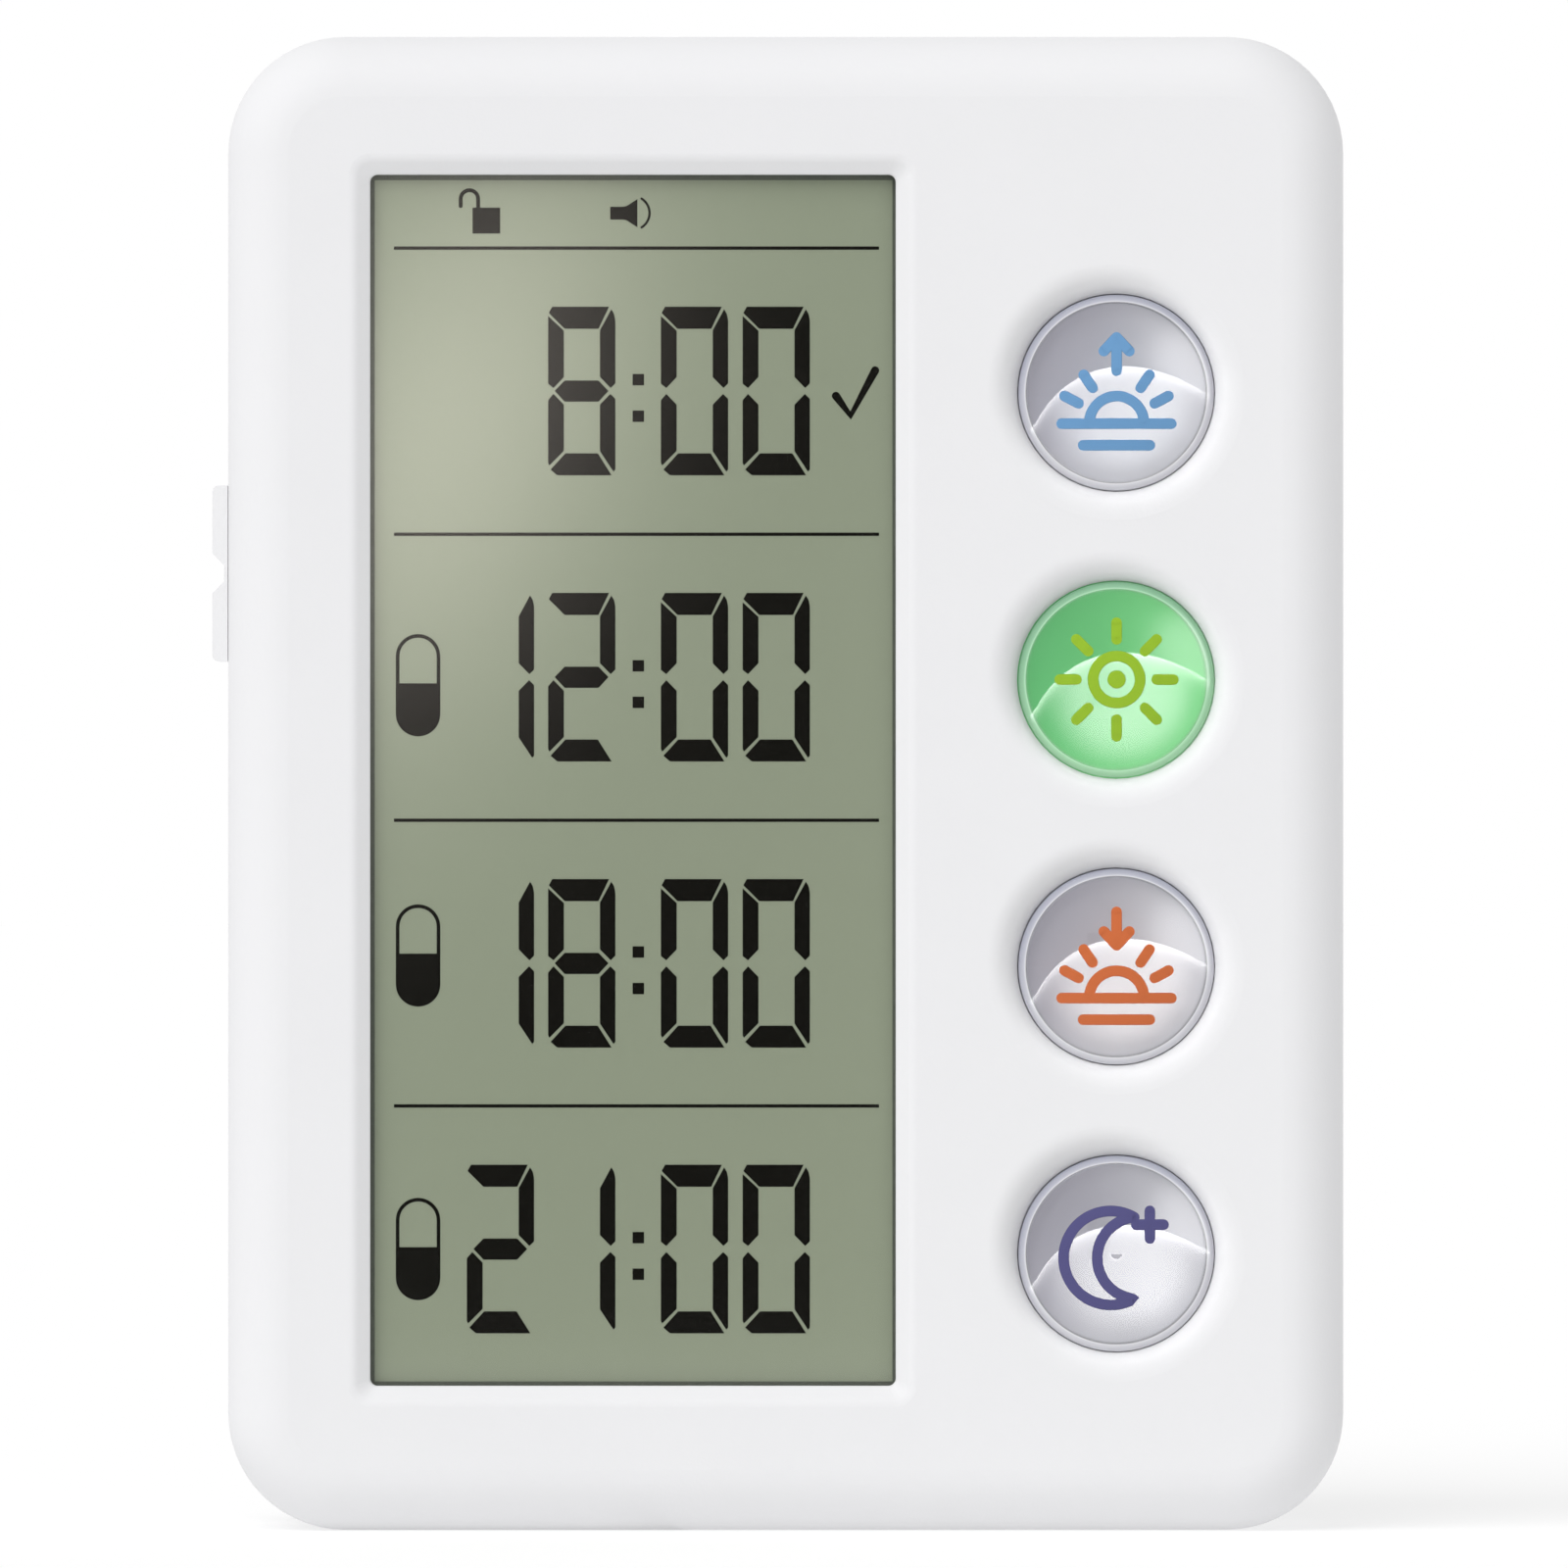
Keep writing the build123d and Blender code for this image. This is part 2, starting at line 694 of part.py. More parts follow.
with BuildPart() as rear_casing:
    with BuildSketch(upright(rear_face)):
        casing_outline(0)
    extrude(amount=rear_depth)
    fillet(rear_casing.faces().sort_by(Axis.Y)[-1].edges(), rear_fillet)
    with BuildSketch(upright(rear_inner)):
        casing_outline(wall)
    extrude(amount=rear_inner, mode=Mode.SUBTRACT)
    # Lip that reaches into the front casing
    with BuildSketch(upright(wall)):
        casing_outline(wall - lip_width)
        with Locations((0, casing_height / 2)):
            RectangleRounded(
                casing_width - 2 * wall, casing_height - 2 * wall, corner_radius - wall, mode=Mode.SUBTRACT
            )
    extrude(amount=wall + lip_height)
    # Battery well, stand pan, hanger pocket, magnet seats, sounder ring and screw posts
    with BuildSketch(upright(rear_inner)):
        with Locations((0, well_z)):
            Rectangle(well_width + 2 * well_wall, well_height + 2 * well_wall)
    extrude(amount=rear_inner - well_front)
    with BuildSketch(upright(rear_inner)):
        with Locations((0, recess_z)):
            Rectangle(recess_width + 2 * pan_wall, recess_height + 2 * pan_wall)
    extrude(amount=rear_inner - pan_face + pan_floor)
    with BuildSketch(upright(rear_inner)):
        with Locations((0, (pocket_top + pocket_bottom) / 2)):
            Rectangle(
                hanger_pocket_width + 2 * hanger_pocket_wall,
                pocket_top - pocket_bottom + 2 * hanger_pocket_wall,
            )
    extrude(amount=hanger_pocket_depth + hanger_pocket_wall)
    with BuildSketch(upright(rear_inner)):
        with Locations(magnet_spots):
            Circle(magnet_radius + 2 * magnet_backing)
    extrude(amount=rear_inner - magnet_floor + magnet_backing)
    with BuildSketch(upright(rear_inner)):
        with Locations((piezo_x, piezo_z)):
            Circle(piezo_radius + seat_gap + piezo_ring_wall)
    extrude(amount=piezo_cavity + 4 * piezo_thickness)
    with BuildSketch(upright(rear_inner)):
        with Locations(case_screw_spots):
            Circle(case_post_radius)
    extrude(amount=rear_inner - seat_gap / 2)
    # Battery well, slots for the contacts' tails, the seat of the door, slots for the door's
    # hooks, and the latch's catch
    with BuildSketch(upright(well_floor)):
        with Locations((0, well_z)):
            Rectangle(well_width, well_height)
    extrude(amount=-(rear_face - well_floor), mode=Mode.SUBTRACT)
    with BuildSketch(upright(well_floor)):
        with Locations([(side * tail_x, z) for side in (-1, 1) for z in cell_zs]):
            Rectangle(contact_thickness + 2 * seat_gap, tail_width + 2 * seat_gap)
    extrude(amount=well_wall, mode=Mode.SUBTRACT)
    with BuildSketch(upright(door_seat)):
        with Locations((0, well_z)):
            RectangleRounded(door_width + 2 * door_gap, door_height + 2 * door_gap, door_corner + door_gap)
    extrude(amount=-(rear_face - door_seat), mode=Mode.SUBTRACT)
    hook_sweep = rear_face - (hook_reach**2 + (latch_rear - hook_thickness - rear_face) ** 2) ** 0.5
    with BuildSketch(upright(hook_sweep - 2 * seat_gap)):
        with Locations((-hook_offset, door_bottom), (hook_offset, door_bottom)):
            Rectangle(hook_width + 4 * seat_gap, 2 * (door_ledge + 2 * door_gap))
    extrude(amount=-(rear_inner - hook_sweep + 2 * seat_gap), mode=Mode.SUBTRACT)
    with BuildSketch(upright(hook_sweep - 2 * seat_gap)):
        with Locations((-hook_offset, door_bottom + door_ledge), (hook_offset, door_bottom + door_ledge)):
            Rectangle(hook_width + 4 * seat_gap, 2 * (door_ledge + door_gap))
    extrude(amount=-(door_seat - hook_sweep + 2 * seat_gap), mode=Mode.SUBTRACT)
    with BuildSketch(upright(latch_front - 2 * seat_gap)):
        with Locations((0, door_top - door_ledge / 2)):
            Rectangle(latch_width + 4 * seat_gap, door_ledge + 4 * door_gap + 2 * latch_catch)
    extrude(amount=-(rear_inner - latch_front + 2 * seat_gap), mode=Mode.SUBTRACT)
    with BuildSketch(upright(rear_inner)):
        with Locations((0, door_top - door_ledge / 2)):
            Rectangle(latch_width + 4 * seat_gap, door_ledge)
    extrude(amount=-(door_seat - rear_inner), mode=Mode.SUBTRACT)
    with BuildSketch(upright(rear_face - scoop_depth)):
        with Locations((0, door_top)):
            Circle(scoop_radius)
    extrude(amount=-scoop_depth, mode=Mode.SUBTRACT)
    # Recess of the stand, with blind bores for its pins
    with BuildSketch(upright(pan_face)) as recess:
        with Locations((0, recess_z)):
            Rectangle(recess_width, recess_height)
        fillet(recess.vertices().group_by(Axis.Y)[0], stand_corner + stand_gap)
    extrude(amount=-(rear_face - pan_face), mode=Mode.SUBTRACT)
    with BuildSketch(Plane.YZ.offset(-pin_reach)):
        with Locations((stand_y, stand_hinge_z)):
            Circle(stand_pin_radius + running_fit)
    extrude(amount=2 * pin_reach, mode=Mode.SUBTRACT)
    # Hanger: a round entry, a slot above it, and the pocket behind both
    with BuildSketch(upright(pocket_front)):
        with Locations((0, (pocket_top + pocket_bottom) / 2)):
            Rectangle(hanger_pocket_width, pocket_top - pocket_bottom)
    extrude(amount=-hanger_pocket_depth, mode=Mode.SUBTRACT)
    with BuildSketch(upright(rear_inner)):
        with Locations((0, hanger_z)):
            Circle(hanger_radius)
        with Locations((0, hanger_z + hanger_slot_rise / 2)):
            SlotCenterToCenter(hanger_slot_rise, hanger_slot_width, rotation=90)
    extrude(amount=-wall, mode=Mode.SUBTRACT)
    # Seats of the magnets, the sounder and its sound holes
    with BuildSketch(upright(magnet_floor)):
        with Locations(magnet_spots):
            Circle(magnet_radius + seat_gap / 2)
    extrude(amount=-(rear_face - magnet_floor), mode=Mode.SUBTRACT)
    with BuildSketch(upright(piezo_seat - 4 * piezo_thickness)):
        with Locations((piezo_x, piezo_z)):
            Circle(piezo_radius + seat_gap)
    extrude(amount=-4 * piezo_thickness, mode=Mode.SUBTRACT)
    with BuildSketch(upright(piezo_seat)):
        with Locations((piezo_x, piezo_z)):
            Circle(piezo_radius - piezo_ring_wall)
    extrude(amount=-piezo_cavity, mode=Mode.SUBTRACT)
    with BuildSketch(upright(rear_inner)):
        with Locations((piezo_x, piezo_z)):
            Circle(sound_hole_radius)
            with PolarLocations(sound_ring_radius, sound_hole_count):
                Circle(sound_hole_radius)
    extrude(amount=-wall, mode=Mode.SUBTRACT)
    # Setting buttons and case screws
    with BuildSketch(upright(rear_inner)):
        with Locations([(x, set_z) for x in set_xs]):
            Circle(set_radius + running_fit)
    extrude(amount=-wall, mode=Mode.SUBTRACT)
    with BuildSketch(upright(screw_seat)):
        with Locations(case_screw_spots):
            Circle(case_head_radius + seat_gap)
    extrude(amount=-screw_well_depth, mode=Mode.SUBTRACT)
    with BuildSketch(upright(screw_seat)):
        with Locations(case_screw_spots):
            Circle(screw_hole_radius)
    extrude(amount=screw_seat, mode=Mode.SUBTRACT)
save(rear_casing, "rear_casing")

with BuildPart() as case_screws:
    with BuildSketch(upright(screw_seat)):
        with Locations(case_screw_spots):
            Circle(case_head_radius)
    extrude(amount=-case_head_height)
    with BuildSketch(upright(screw_seat)):
        with Locations(case_screw_spots):
            Circle(screw_radius)
    extrude(amount=case_screw_length)
save(case_screws, "case_screws")

# Cells, with their ends opposite ways, and the contacts at each end
cell_tip = well_side - contact_room

for number, side, z in ((1, 1, cell_zs[0]), (2, -1, cell_zs[1])):
    with BuildPart() as battery:
        with BuildSketch(Plane.YZ.offset(side * (cell_tip - nub_height))):
            with Locations((cell_y, z)):
                Circle(cell_radius)
        extrude(amount=-side * (cell_length - nub_height))
        chamfer(battery.edges(), cell_chamfer)
        with BuildSketch(Plane.YZ.offset(side * (cell_tip - nub_height))):
            with Locations((cell_y, z)):
                Circle(nub_radius)
        extrude(amount=side * nub_height)
    save(battery, f"battery_{number}")

# Every contact stands on the well's floor, and its tail goes through it to the board
with BuildPart() as battery_contacts:
    for side, z in ((1, cell_zs[0]), (-1, cell_zs[1])):
        with BuildSketch(Plane.YZ.offset(side * (tail_x + contact_thickness / 2))) as plate:
            with Locations(((well_floor + cell_y + cell_radius / 2) / 2, z)):
                Rectangle(cell_y + cell_radius / 2 - well_floor, contact_width)
            with Locations(((well_floor + board_rear) / 2, z)):
                Rectangle(well_floor - board_rear, tail_width)
        extrude(amount=-side * contact_thickness)
save(battery_contacts, "battery_contacts")

with BuildPart() as battery_springs:
    for side, z in ((-1, cell_zs[0]), (1, cell_zs[1])):
        root = side * tail_x
        touch = side * (well_side - spring_room + contact_thickness / 2 + seat_gap)
        bend = well_floor + contact_thickness
        with BuildSketch(Plane.XY.offset(z - contact_width / 2)):
            with BuildLine():
                FilletPolyline(
                    (root, cell_y + cell_radius / 2),
                    (root, bend),
                    (touch, cell_y),
                    (root - side * 4 * contact_thickness, cell_y + cell_radius / 2),
                    radius=[contact_thickness, spring_bend],
                )
            trace(line_width=contact_thickness)
        extrude(amount=contact_width)
        with BuildSketch(Plane.YZ.offset(root - contact_thickness / 2)):
            with Locations(((cell_y + board_rear) / 2, z)):
                Rectangle(cell_y - board_rear, tail_width)
        extrude(amount=contact_thickness)
save(battery_springs, "battery_springs")

# Battery door: a panel with two hooks at the bottom and a springing latch at the top
with BuildPart() as battery_door:
    with BuildSketch(upright(rear_face)) as panel:
        with Locations((0, well_z)):
            RectangleRounded(door_width, door_height, door_corner)
        # The slits on both sides of the latch
        with Locations(
            (-(latch_width + latch_slit) / 2, door_top - latch_length / 2),
            ((latch_width + latch_slit) / 2, door_top - latch_length / 2),
        ):
            Rectangle(latch_slit, latch_length, mode=Mode.SUBTRACT)
    extrude(amount=door_thickness)
    for x in (-hook_offset, hook_offset):
        with BuildSketch(Plane.YZ.offset(x - hook_width / 2)):
            with BuildLine():
                Polyline(
                    (door_inner, door_bottom + door_ledge),
                    (latch_rear - hook_thickness, door_bottom + door_ledge),
                    (latch_rear - hook_thickness, door_bottom - hook_reach),
                    (latch_rear, door_bottom - hook_reach),
                    (latch_rear, door_bottom + door_gap),
                    (door_inner, door_bottom + door_gap),
                    close=True,
                )
            make_face()
        extrude(amount=hook_width)
    with BuildSketch(Plane.YZ.offset(-latch_width / 2)):
        with BuildLine():
            Polyline(
                (door_inner, door_top - door_ledge),
                (latch_front, door_top - door_ledge),
                (latch_front, door_top),
                (latch_rear, door_top + door_gap + latch_catch),
                (latch_rear, door_top - door_gap),
                (door_inner, door_top - door_gap),
                close=True,
            )
        make_face()
    extrude(amount=latch_width)
save(battery_door, "battery_door")

# Stand: a flap with a ribbed inner side, turning on two stub pins
with BuildPart() as stand:
    with BuildSketch(upright(stand_outer)) as flap:
        with Locations((0, (stand_hinge_z + stand_foot_z) / 2)):
            Rectangle(stand_width, stand_hinge_z - stand_foot_z)
        fillet(flap.vertices().group_by(Axis.Y)[0], stand_corner)
        with Locations((0, stand_foot_z)):
            Ellipse(finger_notch_width / 2, finger_notch_height, mode=Mode.SUBTRACT)
    extrude(amount=stand_thickness)
    with BuildSketch(Plane.YZ.offset(-stand_width / 2)):
        with Locations((stand_y, stand_hinge_z)):
            Circle(stand_round)
    extrude(amount=stand_width)
    pocket_span = stand_width - 2 * stand_corner
    pocket_rise = stand_hinge_z - stand_foot_z - 2 * stand_corner
    pocket_width = (pocket_span - pocket_rib * (pocket_columns - 1)) / pocket_columns
    pocket_height = (pocket_rise - pocket_rib * (pocket_rows - 1)) / pocket_rows
    with BuildSketch(upright(stand_inner + pocket_depth)):
        with Locations((0, (stand_hinge_z + stand_foot_z) / 2)):
            with GridLocations(
                pocket_width + pocket_rib, pocket_height + pocket_rib, pocket_columns, pocket_rows
            ):
                Rectangle(pocket_width, pocket_height)
    extrude(amount=pocket_depth, mode=Mode.SUBTRACT)
    with BuildSketch(Plane.YZ.offset(-recess_width / 2 - stand_pin_length)):
        with Locations((stand_y, stand_hinge_z)):
            Circle(stand_pin_radius)
    extrude(amount=recess_width + 2 * stand_pin_length)
save(stand, "stand")

# Setting buttons and their switch stems
set_flange_rear = rear_inner - stop_gap
set_stem_face = board_rear + switch_height + set_stem_proud
set_stem_bottom = board_rear + set_travel + seat_gap

for name, x in zip(set_names, set_xs):
    with BuildPart() as set_button:
        with BuildSketch(turning(x, set_z)) as set_profile:
            with BuildLine():
                Polyline(
                    (0, rear_face + set_proud),
                    (set_radius, rear_face + set_proud),
                    (set_radius, set_flange_rear),
                    (set_flange_radius, set_flange_rear),
                    (set_flange_radius, set_flange_rear - set_flange_thickness),
                    (set_shaft_radius, set_flange_rear - set_flange_thickness),
                    (set_shaft_radius, set_stem_face),
                    (0, set_stem_face),
                    close=True,
                )
            make_face()
            rim_corner = set_profile.vertices().sort_by_distance((set_radius, rear_face + set_proud))[0]
            chamfer(rim_corner, set_chamfer)
        revolve(axis=line_along_y(x, set_z))
    save(set_button, f"{name}_button")

    with BuildPart() as set_stem:
        with BuildSketch(upright(set_stem_face)):
            with Locations((x, set_z)):
                Circle(stem_radius)
        extrude(amount=set_stem_face - set_stem_bottom)
    save(set_stem, f"{name}_switch_stem")

# Magnets, glued flush in the rear
with BuildPart() as magnets:
    with BuildSketch(upright(magnet_floor + seat_gap / 2)):
        with Locations(magnet_spots):
            Circle(magnet_radius)
    extrude(amount=-magnet_thickness)
save(magnets, "magnets")

# Sounder: a brass disc with a ceramic disc on it, and two leads from the board
with BuildPart() as piezo_disc:
    with BuildSketch(upright(piezo_seat)):
        with Locations((piezo_x, piezo_z)):
            Circle(piezo_radius)
    extrude(amount=piezo_thickness)
save(piezo_disc, "piezo_disc")

with BuildPart() as piezo_ceramic:
    with BuildSketch(upright(piezo_seat - piezo_thickness)):
        with Locations((piezo_x, piezo_z)):
            Circle(ceramic_radius)
    extrude(amount=ceramic_thickness)
save(piezo_ceramic, "piezo_ceramic")

lead_ends = [
    (piezo_x, piezo_seat - piezo_thickness - ceramic_thickness),
    (piezo_x + ceramic_radius + piezo_ring_wall / 2, piezo_seat - piezo_thickness),
]
lead_reach = (piezo_seat - board_rear) / 3
with BuildPart() as piezo_leads:
    for number, (end_x, end_y) in enumerate(lead_ends):
        start_x = end_x - lead_shift
        start_z = piezo_z + lead_rise
        with BuildLine() as route:
            FilletPolyline(
                (start_x, board_rear, start_z),
                (start_x, board_rear + lead_reach, start_z),
                (end_x, end_y - lead_reach, piezo_z),
                (end_x, end_y, piezo_z),
                radius=lead_bend,
            )
        with BuildSketch(Plane(origin=route.line @ 0, z_dir=route.line % 0)):
            Circle(lead_radius)
        sweep(path=route.line)
save(piezo_leads, "piezo_leads")
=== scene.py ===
from math import cos, pi, radians, sin

import bmesh
import bpy
from mathutils import Matrix, Vector


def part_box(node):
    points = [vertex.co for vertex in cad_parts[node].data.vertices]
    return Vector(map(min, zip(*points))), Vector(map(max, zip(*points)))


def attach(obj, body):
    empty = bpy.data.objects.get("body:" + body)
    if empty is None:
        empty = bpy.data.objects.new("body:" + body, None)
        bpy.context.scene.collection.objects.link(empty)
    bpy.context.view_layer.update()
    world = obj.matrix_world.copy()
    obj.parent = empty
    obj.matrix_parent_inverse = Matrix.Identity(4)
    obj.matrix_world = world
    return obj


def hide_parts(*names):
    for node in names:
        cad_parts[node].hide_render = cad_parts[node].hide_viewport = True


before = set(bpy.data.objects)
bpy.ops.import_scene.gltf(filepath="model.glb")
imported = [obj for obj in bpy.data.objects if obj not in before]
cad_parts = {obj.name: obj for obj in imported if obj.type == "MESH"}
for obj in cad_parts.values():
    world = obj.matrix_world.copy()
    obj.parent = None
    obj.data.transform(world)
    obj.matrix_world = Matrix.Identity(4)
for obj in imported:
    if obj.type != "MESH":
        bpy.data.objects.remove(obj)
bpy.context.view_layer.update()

# The view is straight on from far away, as for a shop picture, so that the casing's sides
# don't show. The picture is 126.58 mm tall at the depth of the casing's outline.
mm = 0.001
view_height = 126.58 * mm
view_centre = Vector((-0.14 * mm, -7.5 * mm, 60.2 * mm))
camera = bpy.data.objects.new("camera", bpy.data.cameras.new("camera"))
camera.data.lens = 400
camera.data.sensor_width = 36
view_distance = view_height * camera.data.lens / camera.data.sensor_width
camera.location = view_centre - Vector((0, view_distance, 0))
camera.rotation_euler = (pi / 2, 0, 0)
bpy.context.collection.objects.link(camera)
bpy.context.scene.camera = camera
bpy.context.scene.view_settings.view_transform = "Standard"


class Signal:
    """A socket of a finish's nodes. Sums, products and differences of signals add Math nodes."""

    def __init__(self, tree, socket=None):
        self.tree = tree
        self.socket = socket

    def feed(self, socket, value):
        if isinstance(value, Signal):
            self.tree.links.new(value.socket, socket)
        elif isinstance(value, tuple) and len(value) == 3 and socket.type == "RGBA":
            socket.default_value = (*value, 1)
        else:
            socket.default_value = value

    def node(self, kind, sockets=(), out=0, **settings):
        """Adds a node: its settings, then the values or links of its sockets."""
        made = self.tree.nodes.new(kind)
        for name, value in settings.items():
            setattr(made, name, value)
        for name, value in dict(sockets).items():
            self.feed(made.inputs[name], value)
        return Signal(self.tree, made.outputs[out])

    def maths(self, operation, *terms):
        return self.node("ShaderNodeMath", enumerate(terms), operation=operation)

    def __add__(self, other):
        return self.maths("ADD", self, other)

    def __sub__(self, other):
        return self.maths("SUBTRACT", self, other)

    def __rsub__(self, other):
        return self.maths("SUBTRACT", other, self)

    def __mul__(self, other):
        return self.maths("MULTIPLY", self, other)

    __radd__ = __add__
    __rmul__ = __mul__


# Studio: an even daylight room, one large soft lamp from the upper left and a pale floor.
# In front hang a black cloth, so that the display mirrors nothing, and a soft patch of light
# that leaves a sheen on the upper left of the display.
ambient = 0.56
lamp_direction = Vector((-0.151, -0.224, 0.278)).normalized()
lamp_strength = 1.6
lamp_width = radians(50)
floor_half_size = 6
cloth_distance = 300 * mm
patch_distance = 280 * mm
patch_middle = (-33.1 * mm, 94.1 * mm)
patch_half_length = 28.3 * mm
patch_half_width = 15.5 * mm
patch_tilt = radians(19)
patch_glow = 2.6
patch_colour = (1.0, 0.91, 0.83)


def new_material(name):
    """An empty material, its first signal and its output node."""
    material = bpy.data.materials.new(name)
    material.use_nodes = True
    nodes = material.node_tree.nodes
    nodes.clear()
    return material, Signal(material.node_tree), nodes.new("ShaderNodeOutputMaterial")


def add_mesh(name, mesh, material):
    """An object of this mesh, which lies where the mesh does."""
    data = bpy.data.meshes.new(name)
    mesh.to_mesh(data)
    mesh.free()
    data.materials.append(material)
    made = bpy.data.objects.new(name, data)
    bpy.context.collection.objects.link(made)
    return made


def looked_at(start):
    """1 where the camera sees a thing directly, mirrored or through clear plastic, and else 0."""
    camera_ray, glossy_ray, through_ray = (
        start.node("ShaderNodeLightPath", out=f"Is {kind} Ray")
        for kind in ("Camera", "Glossy", "Transmission"))
    return start.maths("MAXIMUM", camera_ray, start.maths("MAXIMUM", glossy_ray, through_ray))


def across_and_up(start):
    """The two signals of a thing's own X and Z."""
    place = start.node("ShaderNodeTexCoord", out="Object")
    return [start.node("ShaderNodeSeparateXYZ", {0: place}, out=axis) for axis in ("X", "Z")]


world = bpy.data.worlds.new("room")
world.use_nodes = True
bpy.context.scene.world = world
room = Signal(world.node_tree)
backdrop = world.node_tree.nodes["Background"].inputs
room.feed(backdrop["Color"], (1, 1, 1))
room.feed(backdrop["Strength"], ambient + looked_at(room) * (1 - ambient))

lamp = bpy.data.objects.new("lamp", bpy.data.lights.new("lamp", "SUN"))
lamp.data.energy = lamp_strength
lamp.data.angle = lamp_width
lamp.rotation_euler = lamp_direction.to_track_quat("Z", "Y").to_euler()
lamp.visible_glossy = False
bpy.context.collection.objects.link(lamp)

# The floor glows a little, as paper under many lamps does, and is whiter to the camera
floor_finish, start, output = new_material("floor")
paint = start.node("ShaderNodeBsdfDiffuse", {"Color": (0.95, 0.95, 0.95)})
glow = start.node("ShaderNodeEmission", {"Color": (1, 1, 1), "Strength": 0.99})
white_glow = start.node("ShaderNodeEmission", {"Color": (1, 1, 1), "Strength": 1.1})
plain = start.node("ShaderNodeMixShader", {0: 0.5, 1: paint, 2: glow})
shown = start.node("ShaderNodeMixShader", {0: 0.55, 1: paint, 2: white_glow})
start.feed(output.inputs["Surface"], start.node(
    "ShaderNodeMixShader", {0: looked_at(start), 1: plain, 2: shown}))
mesh = bmesh.new()
bmesh.ops.create_grid(mesh, x_segments=1, y_segments=1, size=floor_half_size)
add_mesh("floor", mesh, floor_finish)


def card_material(name, strength, colour=(1, 1, 1)):
    """A sheet that glows by the strength given, and otherwise lets light pass."""
    material, start, output = new_material(name)
    pass_by = start.node("ShaderNodeBsdfTransparent", {"Color": (1, 1, 1)})
    glow = start.node("ShaderNodeEmission", {"Color": colour, "Strength": strength(start)})
    start.feed(output.inputs["Surface"], start.node("ShaderNodeAddShader", {0: pass_by, 1: glow}))
    return material


def hang(name, middle, half_width, half_height, finish, *seen_by):
    """An upright card, seen only in pieces that mirror it, or only in those that are given."""
    mesh = bmesh.new()
    bmesh.ops.create_grid(
        mesh, x_segments=1, y_segments=1, size=1, matrix=Matrix.Translation(middle)
        @ Matrix.Rotation(pi / 2, 4, "X") @ Matrix.Diagonal((half_width, half_height, 1, 1)))
    made = add_mesh(name, mesh, finish)
    made.visible_camera = False
    made.visible_diffuse = False
    made.visible_transmission = False
    made.visible_shadow = False
    if seen_by:
        receivers = bpy.data.collections.new(name + "_receivers")
        for piece in seen_by:
            receivers.objects.link(piece)
        made.light_linking.receiver_collection = receivers


cloth, start, output = new_material("black_cloth")
start.feed(output.inputs["Surface"], start.node(
    "ShaderNodeBsdfDiffuse", {"Color": (0.0, 0.0, 0.0)}))
hang("cloth", (-14 * mm, -cloth_distance, 66 * mm), 30 * mm, 65 * mm, cloth)


def patch_strength(start):
    """A soft slanting oval, brightest in its middle."""
    x, z = across_and_up(start)
    x, z = x - patch_middle[0], z - patch_middle[1]
    along = (x * -sin(patch_tilt) + z * -cos(patch_tilt)) * (1 / patch_half_length)
    across = (x * cos(patch_tilt) + z * -sin(patch_tilt)) * (1 / patch_half_width)
    return start.maths("EXPONENT", (along * along + across * across) * -1) * patch_glow


# Casing: two halves of white ABS, moulded with a fine spark-eroded texture that makes them
# satin, screwed together from the back.
def new_finish(name, colour, roughness, **sockets):
    """A Principled material; gives the material, its first signal and the shader's sockets."""
    material, start, output = new_material(name)
    shader = material.node_tree.nodes.new("ShaderNodeBsdfPrincipled")
    material.node_tree.links.new(shader.outputs[0], output.inputs["Surface"])
    start.feed(shader.inputs["Base Color"], colour)
    start.feed(shader.inputs["Roughness"], roughness)
    for socket, value in sockets.items():
        start.feed(shader.inputs[socket.replace("_", " ")], value)
    return material, start, shader.inputs


def noise(start, size, detail=2.0):
    """Soft random spots of about this size."""
    place = start.node("ShaderNodeTexCoord", out="Object")
    return start.node(
        "ShaderNodeTexNoise", {"Vector": place, "Scale": 1 / size, "Detail": detail})


def mixed(start, share, first, second):
    """The first colour where share is 0, the second where it is 1."""
    return start.node(
        "ShaderNodeMix", {0: share, 6: first, 7: second}, out=2, data_type="RGBA")


def toned(colour, share):
    """The colour made darker, or lighter where share is over 1."""
    return tuple(part * share for part in colour)


def moulded(name, colour, roughness=0.45, grain=0.22 * mm, mottle=0.02, **sockets):
    """Moulded plastic: a little uneven in colour and gloss, with the mould's fine texture."""
    material, start, shader = new_finish(name, colour, roughness, **sockets)
    cloud_size = 33 * grain
    gloss_change = 0.12
    grain_depth = grain * 0.06
    cloud = noise(start, cloud_size, 3.0)
    start.feed(shader["Base Color"], mixed(start, cloud, toned(colour, 1 - mottle), colour))
    start.feed(shader["Roughness"], roughness - gloss_change / 2 + cloud * gloss_change)
    start.feed(shader["Normal"], start.node(
        "ShaderNodeBump",
        {"Strength": 0.6, "Distance": grain_depth, "Height": noise(start, grain)}))
    return material


def dress(finish, *nodes):
    """Gives CAD nodes that keep their shape their finish."""
    for node in nodes:
        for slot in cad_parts[node].material_slots:
            slot.material = finish


casing_white = (0.82, 0.82, 0.834)
dress(moulded("white_casing", casing_white), "rear_casing")


